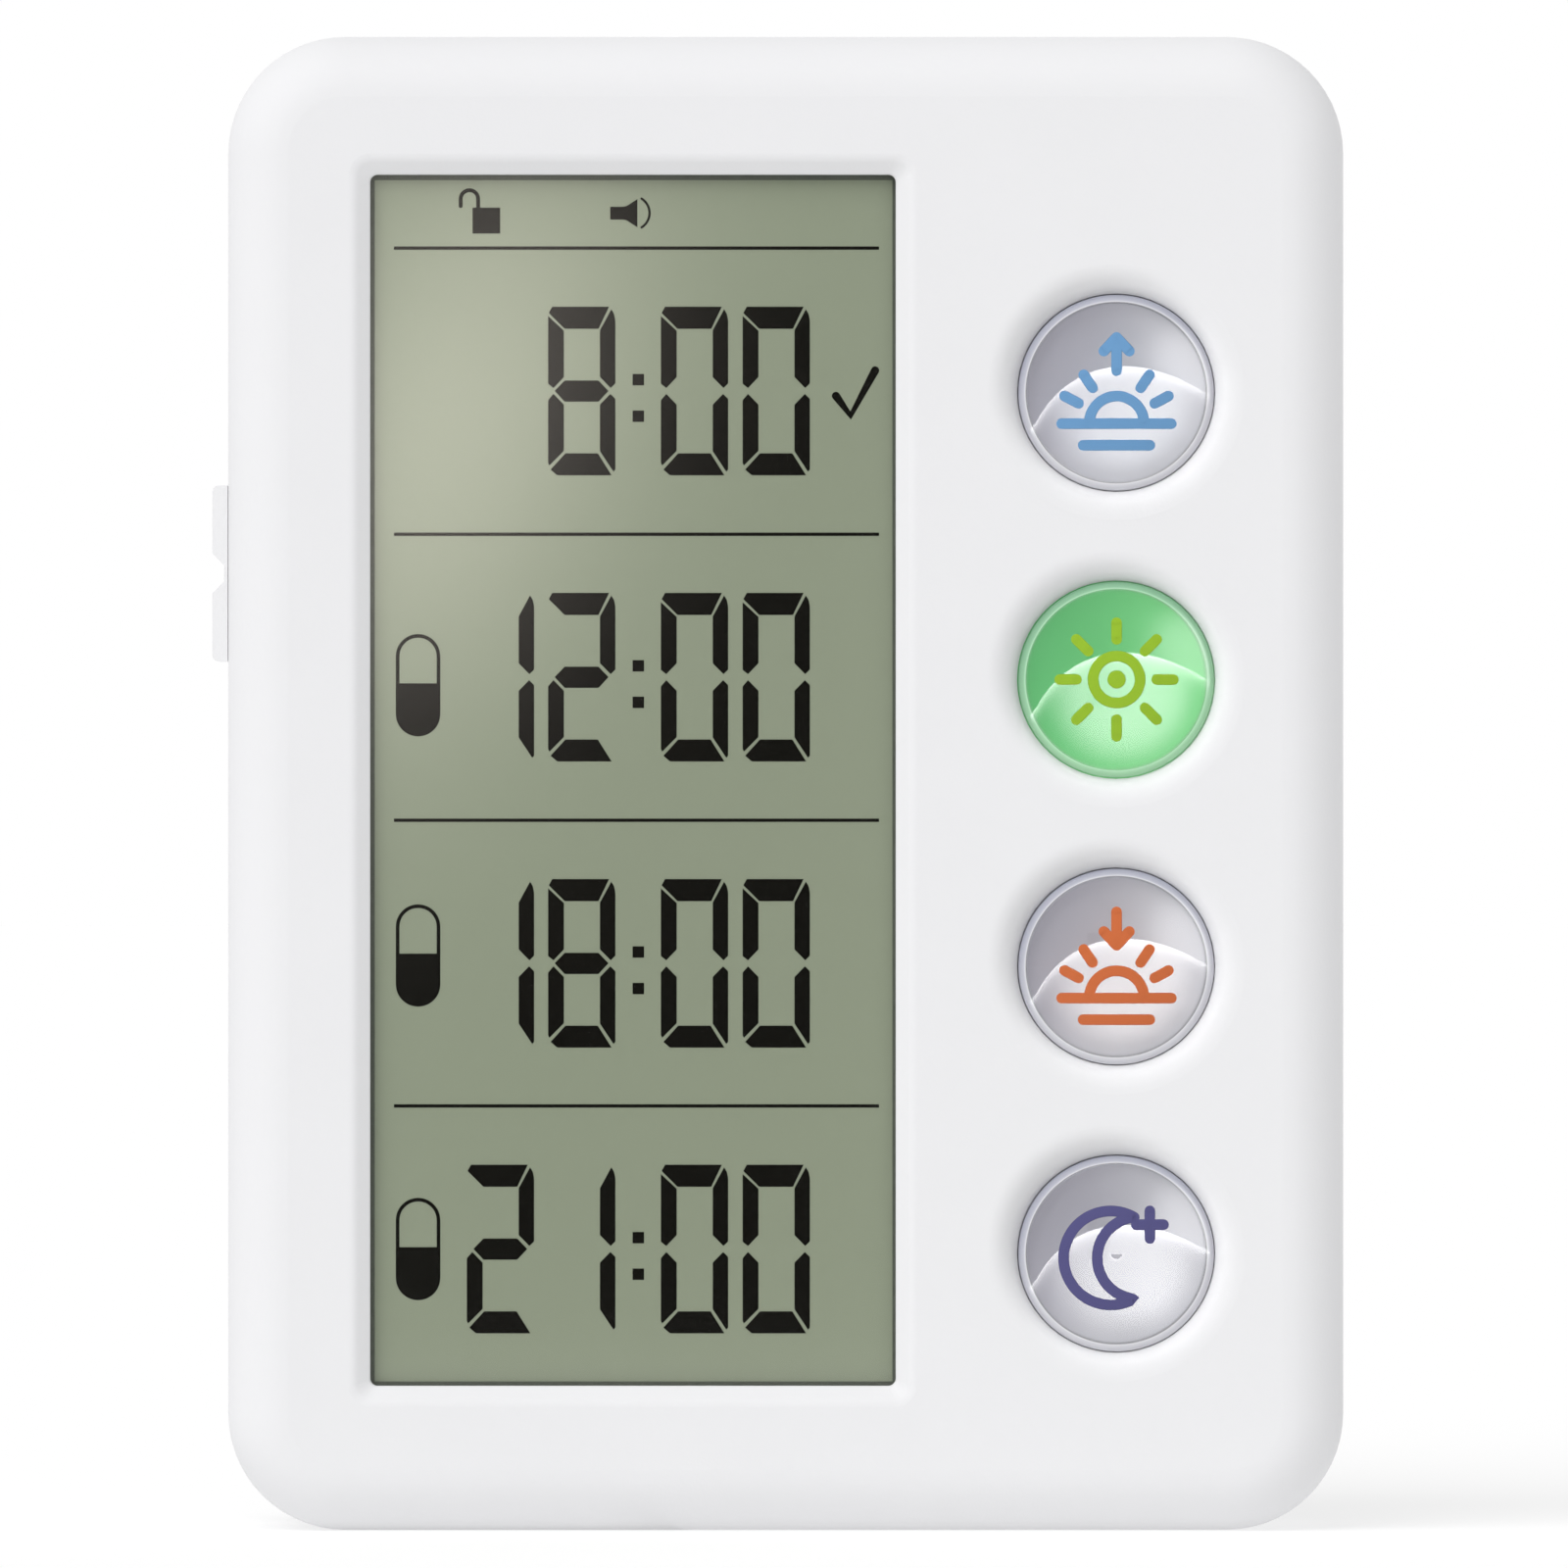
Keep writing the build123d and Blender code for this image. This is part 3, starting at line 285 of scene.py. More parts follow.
# Casing seam: the fine groove where the two halves meet, dark with shade, goes all the way
# round. It is drawn as a thin dark band of painted shade that is let into the side.
low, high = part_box("front_casing")
seam_radius = 9.4 * mm
seam_half_width = 0.07 * mm
seam_lift = 0.006 * mm
seam_depth = 0.1 * mm
corner_steps = 16
mesh = bmesh.new()
rings = []
for lift, y in (
    (seam_lift, -seam_half_width), (seam_lift, seam_half_width),
    (-seam_depth, seam_half_width), (-seam_depth, -seam_half_width),
):
    ring = []
    for corner_x, corner_z, first in (
        (high[0] - seam_radius, high[2] - seam_radius, 0),
        (low[0] + seam_radius, high[2] - seam_radius, 90),
        (low[0] + seam_radius, low[2] + seam_radius, 180),
        (high[0] - seam_radius, low[2] + seam_radius, 270),
    ):
        for step in range(corner_steps + 1):
            turn = radians(first + step * 90 / corner_steps)
            x = corner_x + (seam_radius + lift) * cos(turn)
            z = corner_z + (seam_radius + lift) * sin(turn)
            ring.append(mesh.verts.new((x, y, max(z, low[2]))))
    rings.append(ring)
for side in range(4):
    ring, next_ring = rings[side - 1], rings[side]
    for n in range(len(ring)):
        mesh.faces.new((ring[n - 1], ring[n], next_ring[n], next_ring[n - 1]))
bmesh.ops.recalc_face_normals(mesh, faces=mesh.faces)
seam = add_mesh("casing_seam", mesh, moulded("seam_shade", (0.33, 0.33, 0.34), 0.8))
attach(seam, "casing")


# Display: under a clear sheet lies the picture, a grey-green polarising film with black
# figures. Its artwork is drawn in units of 12.64 to the millimetre, from the upper left.
window_low, window_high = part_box("lcd_window")
glass_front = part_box("lcd_glass")[0][1]
film_front = glass_front - 0.05 * mm
film_thickness = 0.04 * mm
film_margin = 0.5 * mm
ink_front = film_front - 0.012 * mm
ink_thickness = film_front - ink_front
artwork_scale = 12.64
artwork_middle = 800
display_black = (0.0052, 0.0046, 0.0036)
film_green = (0.345, 0.373, 0.282)
# The colour of the painted shade round the display's edge
edge_shade_colour = (0.12, 0.13, 0.105)


def artwork(points, depth):
    """Points of the artwork on a plane at this depth, seen from the camera's distance."""
    nearness = (depth - camera.location.y) / view_distance / artwork_scale * mm
    return [Vector((view_centre.x + (x - artwork_middle) * nearness, depth,
                    view_centre.z + (artwork_middle - y) * nearness)) for x, y in points]


def move_new(mesh, made, distance):
    """Moves the points that an extrusion made to the rear by this distance, and gives them."""
    verts = [part for part in made["geom"] if isinstance(part, bmesh.types.BMVert)]
    bmesh.ops.translate(mesh, vec=(0, distance, 0), verts=verts)
    return verts


def flat_shape(mesh, outline, thickness):
    """A thin flat shape on its outline; a positive thickness goes backwards."""
    face = mesh.faces.new([mesh.verts.new(corner) for corner in outline])
    move_new(mesh, bmesh.ops.extrude_face_region(mesh, geom=[face]), thickness)


def box_corners(left, top, right, bottom):
    return [(left, top), (right, top), (right, bottom), (left, bottom)]


def ring_points(x, y, radius, first, last, count):
    """Points along an arc in the artwork's units; 0 degrees points right and 90 up."""
    turns = [radians(first + (last - first) * n / count) for n in range(count + 1)]
    return [(x + radius * cos(turn), y - radius * sin(turn)) for turn in turns]


def strokes(lines, width, lift):
    """Round-ended lines of ink or moulding along 3-D points, raised by lift above them."""
    curve = bpy.data.curves.new("strokes", "CURVE")
    curve.dimensions = "3D"
    curve.bevel_depth = width / 2
    curve.bevel_resolution = 4
    curve.use_fill_caps = True
    rounds = [(line[0] - line[-1]).length < 0.01 * mm for line in lines]
    for line, is_round in zip(lines, rounds):
        spline = curve.splines.new("POLY")
        spline.points.add(len(line) - 1 - is_round)
        spline.use_cyclic_u = is_round
        for point, place in zip(spline.points, line):
            point.co = (*place, 1)
    drawn = bpy.data.objects.new("strokes", curve)
    mesh = bmesh.new()
    mesh.from_mesh(bpy.data.meshes.new_from_object(drawn))
    bpy.data.objects.remove(drawn)
    for line, is_round in zip(lines, rounds):
        for place in () if is_round else (line[0], line[-1]):
            bmesh.ops.create_uvsphere(
                mesh, u_segments=16, v_segments=8, radius=width / 2,
                matrix=Matrix.Translation(place))
    bmesh.ops.scale(
        mesh, vec=(1, 2 * lift / width, 1), verts=mesh.verts,
        space=Matrix.Translation((0, -lines[0][0].y, 0)))
    bmesh.ops.recalc_face_normals(mesh, faces=mesh.faces)
    return mesh


# The film mirrors a little of the light that falls on it
mesh = bmesh.new()
corners = box_corners(
    window_low[0] + film_margin, window_high[2] - film_margin,
    window_high[0] - film_margin, window_low[2] + film_margin)
flat_shape(mesh, [Vector((x, film_front, z)) for x, z in corners], film_thickness)
bmesh.ops.recalc_face_normals(mesh, faces=mesh.faces)
film, start, shader = new_finish("display_film", film_green, 0.1, Specular_IOR_Level=0.8)
start.feed(shader["Base Color"], mixed(
    start, noise(start, 33 * mm) * 0.7 + noise(start, 0.4 * mm, 1.0) * 0.3,
    toned(film_green, 0.97), toned(film_green, 1.03)))
picture = add_mesh("display_picture", mesh, film)
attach(picture, "casing")
hang("patch", (patch_middle[0], -patch_distance, patch_middle[1]), 34 * mm, 52 * mm,
     card_material("patch", patch_strength, patch_colour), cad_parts["lcd_window"], picture)

# The four times, each of up to four digits of seven segments and two dots
cell_columns = (475.6, 558.5, 673.6, 757.0)
row_tops = (313.0, 605.0, 897.0, 1188.5)
segments = {
    "a": [(1.5, 6.4), (5, 0), (63, 0), (52.2, 22.5), (17.7, 22.5)],
    "b": [(65.3, 2.6), (68.1, 7.4), (69.4, 13.8), (69.4, 78.2), (64.6, 82.9), (53.7, 71.8),
          (53.7, 24)],
    "c": [(64.3, 89), (69.4, 94.1), (69.4, 166), (67.5, 168.3), (53.7, 147.5), (53.7, 99.9)],
    "d": [(18.4, 149.6), (51.5, 149.6), (65.6, 172), (10.1, 172), (3.3, 166.2)],
    "e": [(6.3, 89), (16.9, 99.9), (16.9, 147.1), (2.1, 162), (0.8, 159.2), (0.8, 95.4)],
    "f": [(0.8, 9.5), (16.9, 24.5), (16.9, 71.8), (6.3, 82.9), (0.8, 78.6)],
    "g": [(7.5, 85.9), (17.7, 75.3), (52.2, 75.3), (62.4, 85.9), (52.2, 96.9), (17.7, 96.9)],
}
digits = {"0": "abcdef", "1": "bc", "2": "abdeg", "8": "abcdefg"}
times = (" 800", "1200", "1800", "2100")
dot_left, dot_right, dot_height = 645.5, 657.2, 11.6
dot_drops = (68.6, 105.9)
shapes = []
for top, time in zip(row_tops, times):
    for left, digit in zip(cell_columns, time):
        shapes += [[(left + x, top + y) for x, y in segments[segment]]
                   for segment in digits.get(digit, "")]
    shapes += [box_corners(dot_left, top + drop, dot_right, top + drop + dot_height)
               for drop in dot_drops]
# The lines between the rows
divider_left, divider_right, divider_half_width = 402, 897, 1.7
shapes += [
    box_corners(divider_left, y - divider_half_width, divider_right, y + divider_half_width)
    for y in (253.2, 545.2, 837.0, 1128.5)]
# Half-filled capsules
capsule_left, capsule_right, capsule_height, capsule_line = 403.9, 449.3, 104.4, 3.7
capsule_fill = 50.3
capsule_x = (capsule_left + capsule_right) / 2
capsule_radius = (capsule_right - capsule_left) / 2
for top in (647.0, 922.8, 1222.3):
    middle = top + capsule_fill
    upper_y = top + capsule_radius
    lower_y = top + capsule_height - capsule_radius
    shapes.append([
        (capsule_left, middle), *ring_points(capsule_x, upper_y, capsule_radius, 180, 0, 20),
        (capsule_right, middle), (capsule_right - capsule_line, middle),
        *ring_points(capsule_x, upper_y, capsule_radius - capsule_line, 0, 180, 20),
        (capsule_left + capsule_line, middle)])
    shapes.append([
        (capsule_left, middle), (capsule_right, middle),
        *ring_points(capsule_x, lower_y, capsule_radius, 0, -180, 20)])
# The padlock's body and the speaker's cone
shapes.append(box_corners(482.2, 211.9, 510.4, 238.3))
shapes.append([
    (622.7, 211), (636.5, 211), (639.5, 210.2), (650.4, 203.2), (650.4, 231.9), (639.5, 224.9),
    (636.5, 224.1), (622.7, 224.1)])
mesh = bmesh.new()
for shape in shapes:
    flat_shape(mesh, artwork(shape, ink_front), ink_thickness)
bmesh.ops.recalc_face_normals(mesh, faces=mesh.faces)
# The padlock's shackle, the sound wave and the tick are lines
for line, width in (
    ([(470.1, 210.3)] + ring_points(479, 203, 8.9, 180, 0, 16) + [(487.9, 213.5)], 4.0),
    (ring_points(645.5, 217.4, 17.3, 58, -58, 14), 2.5),
    ([(853, 404), (868, 424), (893, 378)], 8.5),
):
    lined = strokes([artwork(line, film_front)], width / artwork_scale * mm, ink_thickness)
    lines_data = bpy.data.meshes.new("signs")
    lined.to_mesh(lines_data)
    lined.free()
    mesh.from_mesh(lines_data)
ink, start, shader = new_finish("display_black", display_black, 0.5, Specular_IOR_Level=0.05)
start.feed(shader["Base Color"], mixed(
    start, noise(start, 17 * mm), display_black, toned(display_black, 1.5)))
figures = add_mesh("display_figures", mesh, ink)
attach(figures, "casing")

# Painted shade: a dark band on the back of the clear sheet, round the display's edge, stands in
# for the shade along the window's inner edge
border_width = 3.4
border_overlap = 20
border_front = window_high[1] + 0.002 * mm
border_thickness = 0.01 * mm
left, top, right, bottom = 379.0, 180.5, 914.0, 1413.0
mesh = bmesh.new()
outer, inner = (
    [mesh.verts.new(place) for place in artwork(
        box_corners(left + inset, top + inset, right - inset, bottom - inset), border_front)]
    for inset in (-border_overlap, border_width))
for n in range(4):
    mesh.faces.new((outer[n], outer[n - 3], inner[n - 3], inner[n]))
move_new(mesh, bmesh.ops.extrude_face_region(mesh, geom=mesh.faces[:]), border_thickness)
bmesh.ops.recalc_face_normals(mesh, faces=mesh.faces)
edge_shade = add_mesh(
    "display_edge_shade", mesh, moulded("edge_shade_paint", edge_shade_colour, 0.6, mottle=0.1))
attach(edge_shade, "casing")


def clear(name, colour, roughness, index, body=None):
    """Clear plastic or glass: a thin body colour, and gloss that grows towards its edges."""
    material, start, output = new_material(name)
    waved = start.node("ShaderNodeBump", {
        "Strength": 0.02, "Distance": 0.02 * mm, "Height": noise(start, 11 * mm, 1.0)})
    through = start.node("ShaderNodeBsdfTransparent", {"Color": colour})
    if body:
        through = body(start, through)
    gloss = start.node("ShaderNodeBsdfGlossy", {
        "Color": (1, 1, 1), "Roughness": roughness, "Normal": waved})
    front = 1 - start.node("ShaderNodeNewGeometry", out="Backfacing")
    edge = start.node("ShaderNodeFresnel", {"IOR": index, "Normal": waved})
    start.feed(output.inputs["Surface"], start.node(
        "ShaderNodeMixShader", {0: edge * front, 1: through, 2: gloss}))
    return material


acrylic_index = 1.49
glass_index = 1.52
dress(clear("clear_window", (0.97, 0.98, 0.97), 0.08, acrylic_index), "lcd_window")
dress(clear("lcd_glass", (0.9, 0.94, 0.9), 0.02, glass_index), "lcd_glass")
dress(moulded("lcd_reflector", (0.31, 0.35, 0.27), 0.35), "lcd_reflector")
dress(moulded("black_frame", (0.03, 0.03, 0.03), 0.5), "lcd_frame")


# Contact strips: silicone rubber in which thin black carbon layers and plain layers take
# turns along the strip, pressed between the glass and the board.
rubber, start, shader = new_finish("grey_rubber", (0.3, 0.3, 0.32), 0.7)
place = start.node("ShaderNodeTexCoord", out="Object")
layers = start.node(
    "ShaderNodeTexWave", {"Vector": place, "Scale": 900.0, "Distortion": 0.3}, out="Fac")
start.feed(shader["Base Color"], mixed(
    start, layers, (0.05, 0.05, 0.055), (0.5, 0.5, 0.53)))
dress(rubber, "zebra_strips")


# Front buttons: a clear domed cap, moulded in acrylic, with its sign printed on the front.
# A milky bowl below it scatters the light of two small lamps. The noon bowl is lit green.
button_names = ("morning", "noon", "evening", "bedtime")
low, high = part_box("morning_cap")
button_x = (low[0] + high[0]) / 2
top_button_z = (low[2] + high[2]) / 2
cap_front = low[1]
low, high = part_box("noon_cap")
button_pitch = top_button_z - (low[2] + high[2]) / 2
dome_radius = 19.2 * mm
wall_inside = 7.3 * mm
wall_blend = 0.05 * mm
wall_cover = 0.85
wall_highlight_width = 0.1 * mm
wall_highlight_cover = 0.38


def from_axis(start):
    """The signals of a point's place to the right of and above the axis of its own button."""
    x, z = across_and_up(start)
    return x - button_x, start.maths(
        "WRAP", z - top_button_z, button_pitch / 2, -button_pitch / 2)


def fade(start, value, low, high):
    """0 below low and 1 above high, with a smooth step between."""
    return start.node(
        "ShaderNodeMapRange", {0: value, 1: low, 2: high}, interpolation_type="SMOOTHSTEP")


def length(start, x, z):
    return start.maths("SQRT", x * x + z * z)


# Painted shade: the front casing's colour is made darker in the wells round the buttons, most of
# all at their upper left, where the lamp reaches least, and in the fine gap round each cap
painted_well_shade = 0.66
shade_shift = 1 * mm
shade_inside, shade_outside = 6.8 * mm, 9.6 * mm
gap_inside, gap_outside = 8.2 * mm, 8.9 * mm
soft_share = 0.75
row_blend = 0.1 * mm
front_finish = moulded("white_front", casing_white)
start = Signal(front_finish.node_tree)
shader = front_finish.node_tree.nodes["Principled BSDF"].inputs
mottled = Signal(front_finish.node_tree, shader["Base Color"].links[0].from_socket)
x, z = from_axis(start)
soft = fade(
    start, length(start, x + shade_shift, z - shade_shift), shade_inside, shade_outside)
close = fade(start, length(start, x, z), gap_inside, gap_outside)
rows_middle = top_button_z - 1.5 * button_pitch
past_rows = fade(
    start, start.maths("ABSOLUTE", across_and_up(start)[1] - rows_middle),
    2 * button_pitch - row_blend, 2 * button_pitch + row_blend)
lit = start.maths("MAXIMUM", soft * soft_share + close * (1 - soft_share), past_rows)
start.feed(shader["Base Color"], mixed(start, lit, toned(casing_white, painted_well_shade), mottled))
dress(front_finish, "front_casing")


def cap_wall_painted_light(upper, lower, edge):
    """Painted light on the cap's side wall, seen end on: a pale band, darker towards its top,
    with a painted highlight along its inner edge, stands in for the light that the wall gathers.
    """
    def body(start, through):
        x, z = from_axis(start)
        radius = length(start, x, z)
        band = fade(start, radius, wall_inside - wall_blend, wall_inside + wall_blend)
        line = start.maths(
            "EXPONENT", start.maths("ABSOLUTE", radius - wall_inside) * (-1 / wall_highlight_width))
        tone = mixed(start, fade(start, x * 0.3 - z, -6 * mm, 6 * mm), upper, lower)
        wall = start.node("ShaderNodeBsdfPrincipled", {
            "Base Color": mixed(start, line, tone, edge),
            "Roughness": 1.0, "Specular IOR Level": 0.0})
        return start.node("ShaderNodeMixShader", {
            0: start.maths("MAXIMUM", band * wall_cover, line * wall_highlight_cover),
            1: through, 2: wall})
    return body


def bowl_with_painted_shade(name, colour, low, high, **sockets):
    """The bowl's plastic, and a share for painted shade that is lower towards its upper left."""
    material, start, shader = new_finish(name, colour, 0.5, **sockets)
    x, z = from_axis(start)
    cloud = noise(start, 3 * mm) * 0.04
    painted_shade_slant = fade(start, x * 0.85 - z * 0.35, low, high)
    return material, start, shader, painted_shade_slant - cloud


# The caps' wall bands are painted light: lavender for the white bowls and green for the lit noon
# bowl, each with a painted highlight at its inner edge
clear_cap = clear("clear_cap", (0.975, 0.975, 0.985), 0.03, acrylic_index, cap_wall_painted_light(
    (0.46, 0.47, 0.56), (0.68, 0.68, 0.73), (0.95, 0.95, 0.97)))
clear_lit_cap = clear("clear_lit_cap", (0.975, 0.985, 0.975), 0.03, acrylic_index, cap_wall_painted_light(
    (0.25, 0.5, 0.31), (0.38, 0.68, 0.42), (0.6, 0.95, 0.66)))
# Painted shade: the white bowls are a darker colour towards their upper left and plain white
# towards their lower right
disc_shaded = (0.49, 0.48, 0.525)
disc_white = (0.68, 0.68, 0.695)
disc_finish, start, shader, painted_shade_slant = bowl_with_painted_shade("white_diffuser", disc_white, -6.5 * mm, 2.5 * mm)
start.feed(shader["Base Color"], mixed(start, painted_shade_slant, disc_shaded, disc_white))
dress(disc_finish, *(f"{name}_diffuser" for name in button_names if name != "noon"))
# The noon bowl glows green for the small lamps under it; its glow is painted weaker towards its
# upper left, as shade
disc_finish, start, shader, painted_shade_slant = bowl_with_painted_shade(
    "lit_diffuser", (0.08, 0.33, 0.12), -7 * mm, 5 * mm, Emission_Strength=1.0)
start.feed(shader["Emission Color"], mixed(
    start, painted_shade_slant, (0.03, 0.2, 0.055), (0.11, 0.36, 0.13)))
dress(disc_finish, "noon_diffuser")

# In front of each cap hangs a small glowing card with an arched upper edge for it to mirror
card_distance = 13 * mm
card_half_size = 24 * mm
card_glow = 9.0
card_rim_glow = 15.0
card_side_glow = 4.5
main_spot = (2, -3, 14)
side_spot = (17, 6, 10)


def card_strength(middle_z):
    """Bright below the arch, brightest along it, and fading towards the rim; all in mm."""
    def strength(start):
        x, z = across_and_up(start)
        x, z = (x - button_x) * (1 / mm), (z - middle_z) * (1 / mm)
        arch = ((x * 0.000397 - 0.02316) * x + 0.0944) * x + 5.26
        below = fade(start, arch - z, -0.1, 0.3)
        line = start.maths("EXPONENT", (arch - z) * -0.8)

        def spot(spot_x, spot_z, width):
            across, up = x - spot_x, z - spot_z
            share = (across * across + up * up) * (1 / width ** 2)
            return start.maths("EXPONENT", share * share * -1)

        return (below * (spot(*main_spot) * card_glow + line * card_rim_glow)
                + (1 - below) * spot(*side_spot) * card_side_glow)
    return strength


# The signs are printed on the domes, in place of characters
sign_colours = {
    "morning": (0.15, 0.33, 0.58),
    "noon": (0.3, 0.5, 0.03),
    "evening": (0.6, 0.15, 0.05),
    "bedtime": (0.09, 0.085, 0.22),
}
sign_stroke = 11.0
sign_lift = 0.012 * mm


def straight(first, last, count=12):
    """A straight line in short steps, so that it can follow the dome."""
    return [(first[0] + (last[0] - first[0]) * n / count,
             first[1] + (last[1] - first[1]) * n / count) for n in range(count + 1)]


def sun_rays(x, y, turns, near, far):
    return [straight((x + near * cos(radians(t)), y - near * sin(radians(t))),
                     (x + far * cos(radians(t)), y - far * sin(radians(t))), 4) for t in turns]


def sign_lines(name, x, y):
    """The centre lines of a button's sign, round its middle, in the artwork's units."""
    if name == "noon":
        return [
            ring_points(x, y, 24, 0, 360, 40),
            ring_points(x, y, 4, 0, 360, 12),
            *sun_rays(x, y, range(0, 360, 45), 41, 58),
        ]
    if name == "bedtime":
        outer_arc = ring_points(x - 6, y + 4, 48, 60, 300, 48)
        inner_arc = ring_points(x + 22, y + 4, 41.8, 264, 96, 40)
        return [
            outer_arc + inner_arc,
            straight((x + 34, y - 44), (x + 34, y - 16)),
            straight((x + 20, y - 30), (x + 48, y - 30)),
        ]
    rising = name == "morning"
    tip, tail = (y - 56, y - 22) if rising else (y - 22, y - 56)
    barb = tip + (14 if rising else -14)
    horizon = y + 32
    return [
        straight((x - 56, horizon), (x + 56, horizon)),
        ring_points(x, horizon, 28, 180, 0, 30),
        *sun_rays(x, horizon, (28, 56, 124, 152), 44, 60),
        straight((x, tail), (x, tip)),
        straight((x - 13, barb), (x, tip)) + straight((x, tip), (x + 13, barb))[1:],
        straight((x - 34, y + 54), (x + 34, y + 54)),
    ]


for number, name in enumerate(button_names):
    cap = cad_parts[f"{name}_cap"]
    dress(clear_lit_cap if name == "noon" else clear_cap, f"{name}_cap")
    middle_z = top_button_z - number * button_pitch
    hang(f"{name}_card", (button_x, cap_front - card_distance, middle_z), card_half_size,
         card_half_size, card_material(f"{name}_card", card_strength(middle_z)), cap)
    nearness = (cap_front - camera.location.y) / view_distance / artwork_scale * mm
    sign_x = artwork_middle + (button_x - view_centre.x) / nearness
    sign_y = artwork_middle - (middle_z - view_centre.z) / nearness
    mesh = strokes([artwork(line, cap_front) for line in sign_lines(name, sign_x, sign_y)],
                   sign_stroke / artwork_scale * mm, sign_lift)
    for vert in mesh.verts:
        off_axis = (vert.co.x - button_x) ** 2 + (vert.co.z - middle_z) ** 2
        vert.co.y += dome_radius - (dome_radius ** 2 - off_axis) ** 0.5
    sign = add_mesh(f"{name}_sign", mesh, moulded(
        f"{name}_ink", sign_colours[name], 0.4, mottle=0.05, Specular_IOR_Level=0.15))
    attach(sign, f"{name}_button")


# Switches: black tact switches with pale stems stand on the board under the front buttons
# and the rear ones, with two small lamps beside each front switch.
dress(moulded("black_switch", (0.03, 0.03, 0.03), 0.5), "button_switches", "rear_switches")
dress(moulded("switch_stem", (0.75, 0.73, 0.68), 0.4), *(
    f"{name}_switch_stem" for name in (*button_names, "back", "set", "forward")))
dress(moulded("white_led", (0.85, 0.83, 0.6), 0.25, Coat_Weight=0.5), "button_leds")


# Lock slider: a moulded slider with a V groove for the fingernail. Inside it holds the knob
# of a slide switch, whose body is a folded steel can on the board.
def metal(name, colour, roughness, streak=(1, 1, 1), wear=0.12):
    """Bare or plated metal, uneven in gloss, with fine marks along the streak's direction."""
    material, start, shader = new_finish(name, colour, roughness, Metallic=1.0)
    place = start.node("ShaderNodeTexCoord", out="Object")
    drawn = start.node("ShaderNodeVectorMath", {0: place, 1: streak}, operation="MULTIPLY")
    marks = start.node("ShaderNodeTexNoise", {"Vector": drawn, "Scale": 4000.0, "Detail": 2.0})
    start.feed(shader["Base Color"], mixed(
        start, noise(start, 2 * mm), toned(colour, 0.86), colour))
    start.feed(shader["Roughness"], roughness - wear / 2 + marks * wear)
    start.feed(shader["Normal"], start.node(
        "ShaderNodeBump", {"Strength": 0.15, "Distance": 0.01 * mm, "Height": marks}))
    return material


slider_white = moulded("grey_slider", (0.84, 0.84, 0.85), 0.45)
dress(slider_white, "lock_slider")
# A thin skirt under the grips slides along the casing
skirt_gap = 0.05 * mm
casing_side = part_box("front_casing")[0][0]
grips = [vert.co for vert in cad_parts["lock_slider"].data.vertices
         if vert.co.x < casing_side]
low = Vector((max(place.x for place in grips), min(place.y for place in grips),
              min(place.z for place in grips)))
high = Vector((casing_side - skirt_gap, max(place.y for place in grips),
               max(place.z for place in grips)))
mesh = bmesh.new()
bmesh.ops.create_cube(mesh, size=1, matrix=(
    Matrix.Translation((low + high) / 2) @ Matrix.Diagonal((*(high - low), 1))))
skirt = add_mesh("slider_skirt", mesh, slider_white)
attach(skirt, "lock_slider")
dress(moulded("lock_knob", (0.03, 0.03, 0.03), 0.5), "lock_switch_knob")
dress(metal("switch_can", (0.62, 0.62, 0.6), 0.3, (1, 1, 0.05)), "lock_switch_body")


# Circuit board: glass-filled epoxy under green solder mask, through which copper tracks and
# the weave show a little, with a clock crystal's steel can and a black controller chip.
board, start, shader = new_finish("green_board", (0.02, 0.16, 0.06), 0.35)
place = start.node("ShaderNodeTexCoord", out="Object")
upright = start.node(
    "ShaderNodeVectorRotate", {"Vector": place, "Angle": pi / 2}, rotation_type="X_AXIS")
track = start.node("ShaderNodeTexBrick", {
    "Vector": upright, "Scale": 260.0, "Mortar Size": 0.025,
    "Color1": (0, 0, 0), "Color2": (0, 0, 0), "Mortar": (1, 1, 1)})
start.feed(shader["Base Color"], mixed(start, track, (0.015, 0.13, 0.05), (0.05, 0.3, 0.11)))
start.feed(shader["Roughness"], 0.3 + noise(start, 1.5 * mm) * 0.15)
start.feed(shader["Normal"], start.node("ShaderNodeBump", {
    "Strength": 0.3, "Distance": 0.03 * mm,
    "Height": start.node("ShaderNodeRGBToBW", {0: track})}))
dress(board, "circuit_board")
dress(moulded("black_chip", (0.025, 0.025, 0.027), 0.6, grain=0.1 * mm), "controller_chip")
dress(metal("crystal_can", (0.72, 0.7, 0.66), 0.22, (1, 1, 0.1)), "crystal_can")


# Screws: cheese-headed self-tapping screws, zinc plated, with a pressed cross recess. Four
# hold the board to the front casing and four hold the two casings together.
def cross_corners(arm, half_width):
    """The twelve corners of a cross, going round."""
    quarter = [(arm, -half_width), (arm, half_width), (half_width, half_width)]
    turned = []
    for _ in range(4):
        turned += quarter
        quarter = [(-z, x) for x, z in quarter]
    return turned


